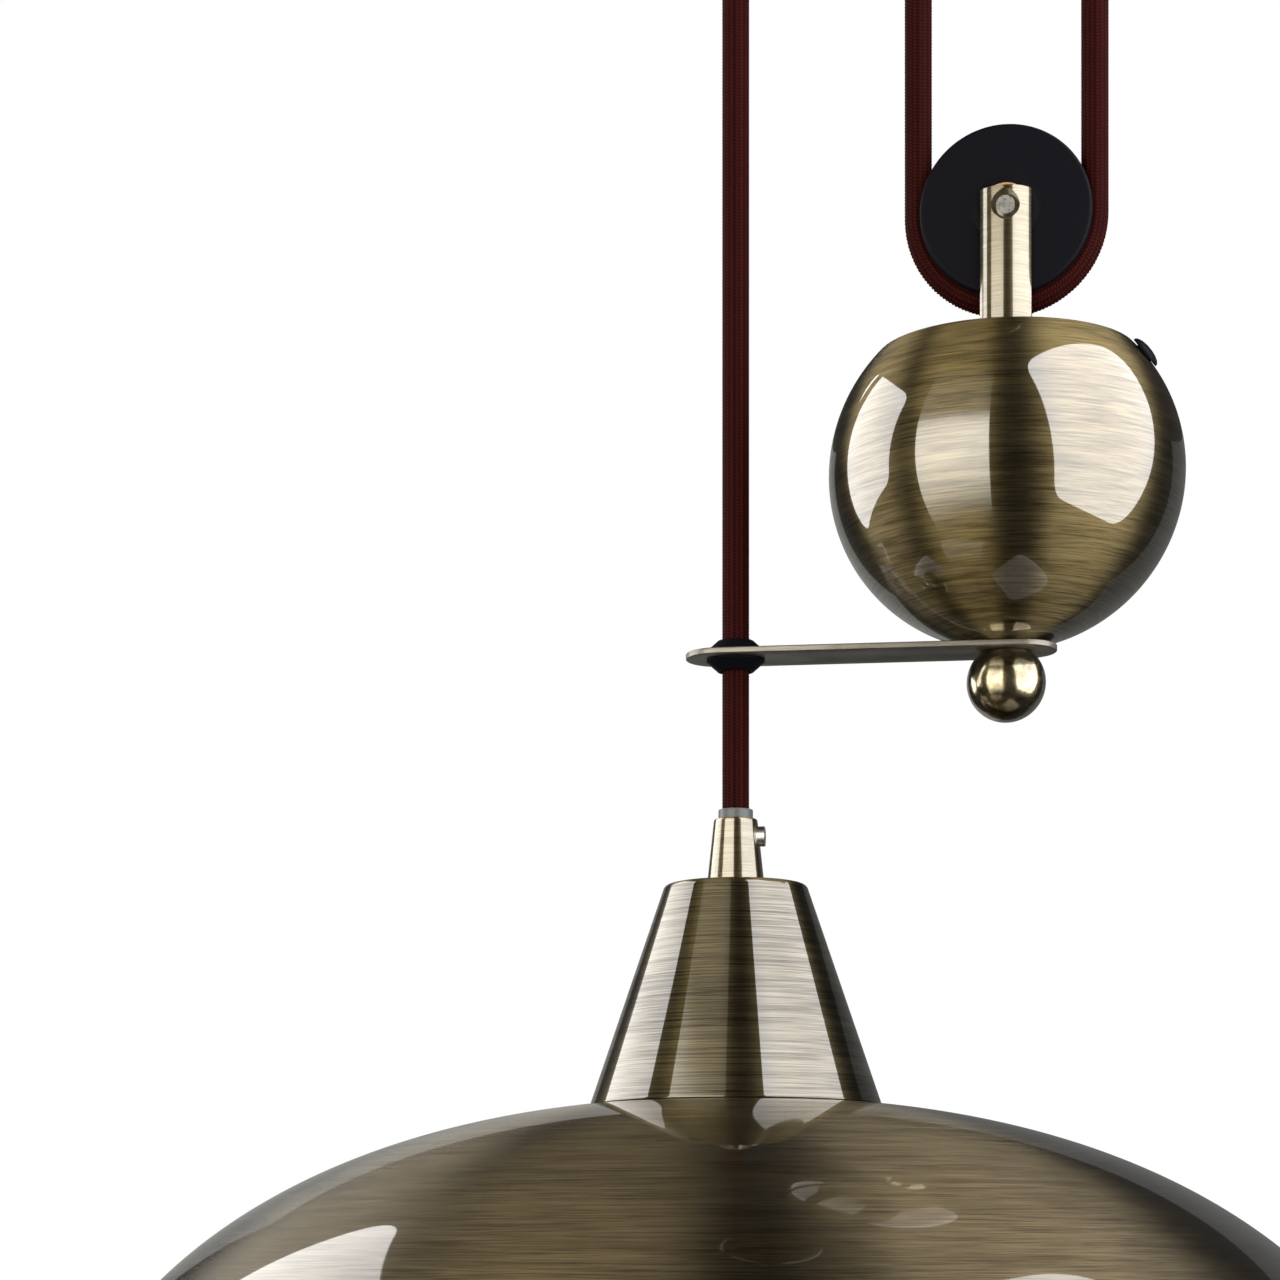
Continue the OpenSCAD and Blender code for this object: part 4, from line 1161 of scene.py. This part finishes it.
@dataclass
class Canopy(SubAssembly):
    """The cup at the ceiling and what hides in it."""

    radius: float = 62.0
    top: float = -0.4
    floor: float = -56.0
    sheet: float = 1.0
    bend: float = 7.0
    wall_edge: float = 0.3
    floor_edge: float = 0.02
    floor_overlap: float = 0.001
    cord_hole_r: float = 4.87
    body: Body = field(default=Body.CANOPY, init=False)

    def build(self) -> None:
        """The cup's wall and bend, and its floor with three holes, as one piece."""
        start = self.radius - self.bend
        quarter = evenly(-math.pi / 2, 0.0, 16)
        outer, inner = (shifted(oval(bend, bend, quarter), start, self.floor + self.bend)
                        for bend in (self.bend, self.bend - self.sheet))
        wall = outer + [(self.radius, self.top), (self.radius - self.sheet, self.top)]
        edges = {len(outer): self.wall_edge, len(outer) + 1: self.wall_edge}
        outline = rounded(wall + inner[::-1], edges, steps=4)
        cup = Mesher().lathe(outline, upright(0.0), sides=288).piece("cup", sharp=40)
        holes = [circle(x, 0, self.cord_hole_r, 64)
                 for x in (PLAN.lamp_x, PLAN.near_x, PLAN.far_x)]
        floor = cut_plate("cup_floor", [circle(0, 0, start + self.floor_overlap, 288)] + holes,
                          self.floor, self.floor + self.sheet, self.floor_edge)
        self.fit(cup, Finishes.CANOPY, "canopy_cup")
        Finishes.CANOPY.put_on(floor)
        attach(floor, self.body.value)

    def dress(self) -> None:
        """The hidden metalwork, the block, the screws and the cord bushes."""
        dress_nodes(Finishes.ZINC, "ceiling_plate", "plate_ears", "wheel_hanger",
                    "hanger_rivets", "canopy_axle", "cord_anchor", "anchor_screws")
        dress_nodes(Finishes.SPRING, "axle_clip")
        dress_nodes(Finishes.BRONZE, "canopy_washers")
        dress_nodes(Finishes.FINIAL, "canopy_screws")
        dress_nodes(Finishes.BLACK, "cord_bushes")
        dress_nodes(Finishes.WHITE, "terminal_block")
        dress_nodes(Finishes.CONTACT, "terminal_screws", "earth_screw")


@dataclass
class Lampholder(SubAssembly):
    """The lampholder under the cone, as CAD has it."""

    body: Body = field(default=Body.LAMP, init=False)

    def dress(self) -> None:
        """Plastic, porcelain and contacts."""
        dress_nodes(Finishes.ZINC, "grip_screw", "grip_nipple", "cone_locknut")
        dress_nodes(Finishes.BLACK, "lampholder_cap", "lampholder_skirt", "shade_ring")
        dress_nodes(Finishes.PORCELAIN, "lampholder_insert")
        dress_nodes(Finishes.CONTACT, "screw_shell", "lampholder_contacts",
                    "lampholder_terminals")
        dress_nodes(Finishes.SHEATH, "lamp_leads")


def dress_nodes(finish: Finish, *nodes: str) -> None:
    """Gives CAD pieces their finish."""
    for node in nodes:
        finish.put_on(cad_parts[node])


# ----------------------------------------------------------------------- cord


@dataclass(frozen=True)
class Plait:
    """How the cord's cover is plaited."""

    diameter: float = 6.5
    columns: int = 16
    pitch: float = 0.78
    relief: float = 0.30
    sides: int = 32
    rings_per_pitch: int = 3
    slant: float = 0.9
    stagger: float = 0.25
    strand_power: float = 0.7
    crown_power: float = 0.5
    crown_share: float = 0.55
    inset: float = 0.45
    level: float = 0.35

    def height(self, turn: float, along: float) -> tuple[float, float]:
        """The plait's height and lean at a spot.

        Args:
            turn: Share of a full turn round the cord, 0 to 1.
            along: Millimetres along the cord.

        Returns:
            Height from 0 to 1, and 0 or 1 for the way that the strand leans.
        """
        column = turn * self.columns
        index = math.floor(column)
        inside = column - index - 0.5
        lean = 1.0 if index % 2 else -1.0
        phase = along / self.pitch + lean * inside * self.slant + self.stagger * (index % 2)
        strand = abs(math.sin(math.pi * phase)) ** self.strand_power
        crown = math.cos(math.pi * inside) ** self.crown_power
        height = strand * (1.0 - self.crown_share + self.crown_share * crown)
        return height, 0.5 + 0.5 * lean


@dataclass
class CordRun:
    """One unbroken stretch of the cord."""

    name: str
    nodes: tuple[str, ...]
    route: list[Vector]
    other: Body
    blend_z: tuple[float, float]
    plait: Plait = Plait()

    def sampled(self) -> tuple[list[tuple[Vector, Vector, float]], float]:
        """Even steps along the route.

        Returns:
            (point, direction, distance) for each ring, and the whole length.
        """
        spans = [(b - a).length for a, b in zip(self.route, self.route[1:])]
        total = sum(spans)
        count = int(total / self.plait.pitch * self.plait.rings_per_pitch)
        rings, piece, done = [], 0, 0.0
        for i in range(count + 1):
            goal = total * i / count
            while piece < len(spans) - 1 and done + spans[piece] < goal:
                done += spans[piece]
                piece += 1
            a, b = self.route[piece], self.route[piece + 1]
            rings.append((a.lerp(b, (goal - done) / spans[piece]), (b - a).normalized(), goal))
        return rings, total

    def build(self) -> None:
        """The plaited tube."""
        rings, total = self.sampled()
        plait = self.plait
        radius = plait.diameter / 2 - plait.relief * plait.inset
        side_y = Vector((0.0, 1.0, 0.0))
        skin, heights, leans = [], [], []
        for centre, ahead, along in rings:
            side = ahead.cross(side_y)
            ring = []
            for k in range(plait.sides):
                turn = k / plait.sides
                height, lean = plait.height(turn, along)
                reach = radius + plait.relief * (height - plait.level)
                angle = 2 * math.pi * turn
                ring.append(centre + side * (reach * math.cos(angle))
                            + side_y * (reach * math.sin(angle)))
                heights.append(height)
                leans.append(lean)
            skin.append(ring)
        mesh = Mesher().grid(skin).mesh(self.name)
        smooth_faces(mesh)
        for label, values in (("plait", heights), ("lean", leans)):
            mesh.attributes.new(label, "FLOAT", "POINT").data.foreach_set("value", values)
        mesh.update()
        obj = put_in(self.name, mesh)
        Finishes.BRAID.put_on(obj)
        self.blend_z[0] * MM
        self.blend_z[1] * MM
        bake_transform(obj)
        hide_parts(*self.nodes)
        tuple(self.route[0] * MM)
        total * MM
        [tuple(p * MM) for p in self.route]
        LOG.info("%s: %.0f mm, %d faces", self.name, total, len(mesh.polygons))


def arc_route(x: float, z: float, radius: float, first: float, last: float,
              steps: int = 48) -> list[Vector]:
    """Points on an arc in the XZ plane, angles in degrees from +X."""
    return [Vector((x + radius * math.cos(math.radians(t)), 0.0,
                    z + radius * math.sin(math.radians(t))))
            for t in evenly(first, last, steps)]


def straight(x: float, first: float, last: float, step: float = 6.0) -> list[Vector]:
    """Points down or up a vertical line."""
    count = max(1, int(abs(last - first) / step))
    return [Vector((x, 0.0, z)) for z in evenly(first, last, count)]


def joined(*parts: list[Vector]) -> list[Vector]:
    """Routes end to end without doubled points."""
    result: list[Vector] = []
    for part in parts:
        for point in part:
            if not result or (point - result[-1]).length > JOINED:
                result.append(point)
    return result


def cord_runs() -> list[CordRun]:
    """The cord's two stretches: over the canopy wheel to the lamp, and round the ball's wheel."""
    top = PLAN.canopy_wheel_z
    meet, tail = top - PLAN.runs_meet, top + PLAN.tail_rise
    bend = PLAN.tail_bend_r
    lamp = joined([Vector((PLAN.near_x, 0.0, meet))],
                  arc_route(PLAN.canopy_wheel_x, top, PLAN.canopy_pitch_r, 0, 180),
                  straight(PLAN.lamp_x, top, PLAN.cord_end_z))
    weight = joined(straight(PLAN.near_x, meet, PLAN.weight_axle_z),
                    arc_route(PLAN.weight_x, PLAN.weight_axle_z, PLAN.weight_pitch_r, 180, 360),
                    straight(PLAN.far_x, PLAN.weight_axle_z, tail),
                    arc_route(PLAN.far_x - bend, tail, bend, 0, 90, 16),
                    [Vector((PLAN.tail_end_x, 0.0, tail + bend))])
    return [CordRun("cord_to_lamp", ("canopy_cord", "lamp_cord"), lamp, Body.LAMP,
                    (PLAN.stretch_from_z, PLAN.lamp_holds_z)),
            CordRun("cord_to_ball", ("weight_cord", "cord_tail"), weight, Body.COUNTERWEIGHT,
                    (PLAN.stretch_from_z, PLAN.ball_holds_z))]


# --------------------------------------------------------------------- studio


@dataclass(frozen=True)
class Fade:
    """How bright a panel is at a height: up between two heights, down between two more."""

    low: float
    full: float
    from_full: float
    high: float
    strength: float = 1.0


@dataclass(frozen=True)
class Panel:
    """A surface that only shines, and that only the pendant sees."""

    name: str
    glow: Colour
    fades: tuple[Fade, ...]

    def material(self) -> bpy.types.Material:
        """The glow, as bright at each height as the fades say."""
        made, graph = blank_material(self.name)
        constants = {"Base Color": (0.0, 0.0, 0.0, 1.0), "Specular IOR Level": 0.0,
                     "Emission Strength": 1.0}
        if not self.fades:
            graph.surface({**constants, "Emission Color": (*self.glow, 1.0)}, {})
            return made
        _, _, z = graph.place().parts()
        total: Number | float = 0.0
        for fade in self.fades:
            share = z.ramp(fade.low, fade.full) * (1.0 - z.ramp(fade.from_full, fade.high))
            total = share * fade.strength + total
        graph.surface(constants, {"Emission Color": graph.blend(total, (0.0, 0.0, 0.0),
                                                                self.glow)})
        return made

    def points(self, studio: "Studio") -> tuple[list[Vector], list[tuple[int, ...]]]:
        """The panel's corner points and faces."""
        raise NotImplementedError

    def hang(self, studio: "Studio") -> None:
        """Puts the panel up."""
        points, faces = self.points(studio)
        mesh = bare_mesh(self.name, points, faces)
        mesh.materials.append(self.material())
        obj = put_in(self.name, mesh)
        obj.visible_camera = False
        obj.visible_shadow = False


@dataclass(frozen=True)
class Card(Panel):
    """A flat panel, its corners given as (degrees right of the camera, degrees up)."""

    corners: tuple[tuple[float, float], ...]
    distance: float
    rounding: float = 0.0
    corner_steps: int = 8
    least_facing: float = 0.25

    def points(self, studio: "Studio") -> tuple[list[Vector], list[tuple[int, ...]]]:
        """One flat face across the corner directions, each corner rounded off."""
        ways = [studio.way(*corner) for corner in self.corners]
        centre = sum(ways, Vector()).normalized()
        tips = [Vector(studio.focus)
                + way * (self.distance / max(self.least_facing, way.dot(centre)))
                for way in ways]
        points = []
        for k, tip in enumerate(tips):
            before = tip.lerp(tips[k - 1], self.rounding)
            after = tip.lerp(tips[(k + 1) % len(tips)], self.rounding)
            points += [before.lerp(tip, share).lerp(tip.lerp(after, share), share)
                       for share in evenly(0.0, 1.0, self.corner_steps)]
        return points, [tuple(range(len(points)))]


@dataclass(frozen=True)
class Strip(Panel):
    """An upright curved panel round the pendant, between two directions and two heights."""

    first: float
    last: float
    distance: float
    low: float
    high: float
    steps: int = 24

    def points(self, studio: "Studio") -> tuple[list[Vector], list[tuple[int, ...]]]:
        """A row of upright faces."""
        points = []
        for azimuth in evenly(self.first, self.last, self.steps):
            foot = Vector((*studio.focus[:2], 0.0)) + studio.way(azimuth, 0.0) * self.distance
            points += [foot + Vector((0, 0, self.low)), foot + Vector((0, 0, self.high))]
        return points, [(2 * k, 2 * k + 1, 2 * k + 3, 2 * k + 2) for k in range(self.steps)]


@dataclass
class Studio:
    """Camera, light panels, floor and world."""

    turn: float = 8.0
    distance: float = 0.75
    height: float = -0.680
    focus: tuple[float, float, float] = (0.022, 0.0, -0.489)
    aside: float = 0.02297
    lens: float = 87.89
    sensor: float = 36.0
    shift: float = 0.5016
    nearest: float = 0.05
    floor_z: float = -1.35
    floor_half: float = 6.0
    floor_tone: Colour = (0.8, 0.8, 0.8)
    floor_roughness: float = 0.9
    dim: float = 0.035
    panels: tuple[Panel, ...] = (
        Card("light_right", (5.3, 5.2, 5.15), (), corners=(
            (26.0, -27.0), (84.0, -28.0), (115.0, 48.0), (9.0, 57.0)), distance=0.48,
            rounding=0.16),
        Card("light_left", (5.0, 4.9, 4.8), (), corners=(
            (-80.5, 37.5), (-86.0, -5.0), (-122.0, -15.0), (-140.0, 38.5)), distance=0.95,
            rounding=0.14),
        Strip("panel_front", (6.0, 5.7, 5.0), (
            Fade(-1.0, -0.45, -0.33, -0.16, 0.87), Fade(-1.3, -0.5, -0.2, 0.5, 0.11)),
            first=-17.0, last=-64.0, distance=0.6, low=-1.3, high=0.5),
        Strip("wall_right", (0.17, 0.17, 0.165), (), first=124.0, last=180.0,
              distance=1.6, low=-1.6, high=0.0),
        Strip("wall_left", (0.36, 0.36, 0.34), (), first=180.0, last=208.0,
              distance=1.6, low=-1.6, high=0.0),
    )

    def camera(self) -> None:
        """A level camera whose frame is shifted up, as the photo's upright lines show."""
        right, toward = self.sides()
        axis = Vector((PLAN.lamp_x * MM, 0.0, 0.0))
        data = bpy.data.cameras.new("camera")
        data.lens = self.lens
        data.sensor_width = self.sensor
        data.shift_y = self.shift
        data.clip_start = self.nearest
        camera = put_in("camera", data)
        camera.location = (axis - right * self.aside + toward * self.distance
                           + Vector((0, 0, self.height)))
        camera.rotation_euler = (math.pi / 2, 0.0, math.radians(self.turn))
        bpy.context.scene.camera = camera

    def sides(self) -> tuple[Vector, Vector]:
        """Unit directions to the camera's right and from the pendant towards the camera."""
        turn = math.radians(self.turn)
        return (Vector((math.cos(turn), math.sin(turn), 0.0)),
                Vector((math.sin(turn), -math.cos(turn), 0.0)))

    def way(self, azimuth: float, rise: float) -> Vector:
        """Unit direction from the pendant, from degrees right of the camera and up."""
        a, e = math.radians(azimuth), math.radians(rise)
        right, toward = self.sides()
        return (right * (math.sin(a) * math.cos(e)) + toward * (math.cos(a) * math.cos(e))
                + Vector((0, 0, math.sin(e))))

    def ground(self) -> None:
        """A pale floor that only holds the shadow."""
        s = self.floor_half
        corners = [(x, y, self.floor_z) for x, y in ((-s, -s), (s, -s), (s, s), (-s, s))]
        mesh = bare_mesh("floor", corners, [(0, 1, 2, 3)])
        material, graph = blank_material("pale_floor")
        graph.surface({"Roughness": self.floor_roughness, "Specular IOR Level": 0.0,
                       "Base Color": self.floor_tone}, {})
        mesh.materials.append(material)
        obj = put_in("floor", mesh)
        obj.visible_glossy = False

    def surroundings(self) -> None:
        """White where the camera looks, dim for reflections and fill."""
        world = bpy.data.worlds.new("studio")
        bpy.context.scene.world = world
        world.use_nodes = True
        graph = Graph(world.node_tree)
        seen = Number(graph, graph.node("ShaderNodeLightPath", {}, output="Is Camera Ray"))
        colour = graph.blend(seen, (self.dim,) * 3, (1.0, 1.0, 1.0))
        back = graph.node("ShaderNodeBackground", {}, colour, 1.0)
        graph.add("ShaderNodeOutputWorld", {}, (Wire(graph, back),))

    def build(self) -> None:
        """Everything that isn't the pendant."""
        self.surroundings()
        for panel in self.panels:
            panel.hang(self)
        self.ground()
        bpy.context.scene.view_settings.view_transform = "Standard"


# ----------------------------------------------------------------------- main


class Pendant:
    """The whole lamp."""

    def __init__(self) -> None:
        self.parts: list[SubAssembly] = [
            Canopy(),
            Wheel("canopy_pulley", "canopy_wheel", "canopy_wheel_bush", Body.UPPER_WHEEL,
                  PLAN.canopy_wheel_x, PLAN.canopy_wheel_z, PLAN.canopy_wheel_r,
                  PLAN.canopy_pitch_r),
            Wheel("ball_pulley", "weight_wheel", "weight_wheel_bush", Body.LOWER_WHEEL,
                  PLAN.weight_x, PLAN.weight_axle_z, PLAN.weight_wheel_r, PLAN.weight_pitch_r),
            Ball(), Cone(), Lampholder(), Shade()]

    def build(self) -> None:
        """Makes and finishes every piece."""
        for run in cord_runs():
            run.build()
        for part in self.parts:
            part.build()
            part.dress()
            LOG.info("%s done", type(part).__name__)


def main() -> None:
    """Builds the scene."""
    logging.basicConfig(level=logging.INFO, format="%(name)s: %(message)s")
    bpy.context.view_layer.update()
    studio = Studio()
    studio.camera()
    Pendant().build()
    studio.build()


if __name__ == "__main__":
    main()
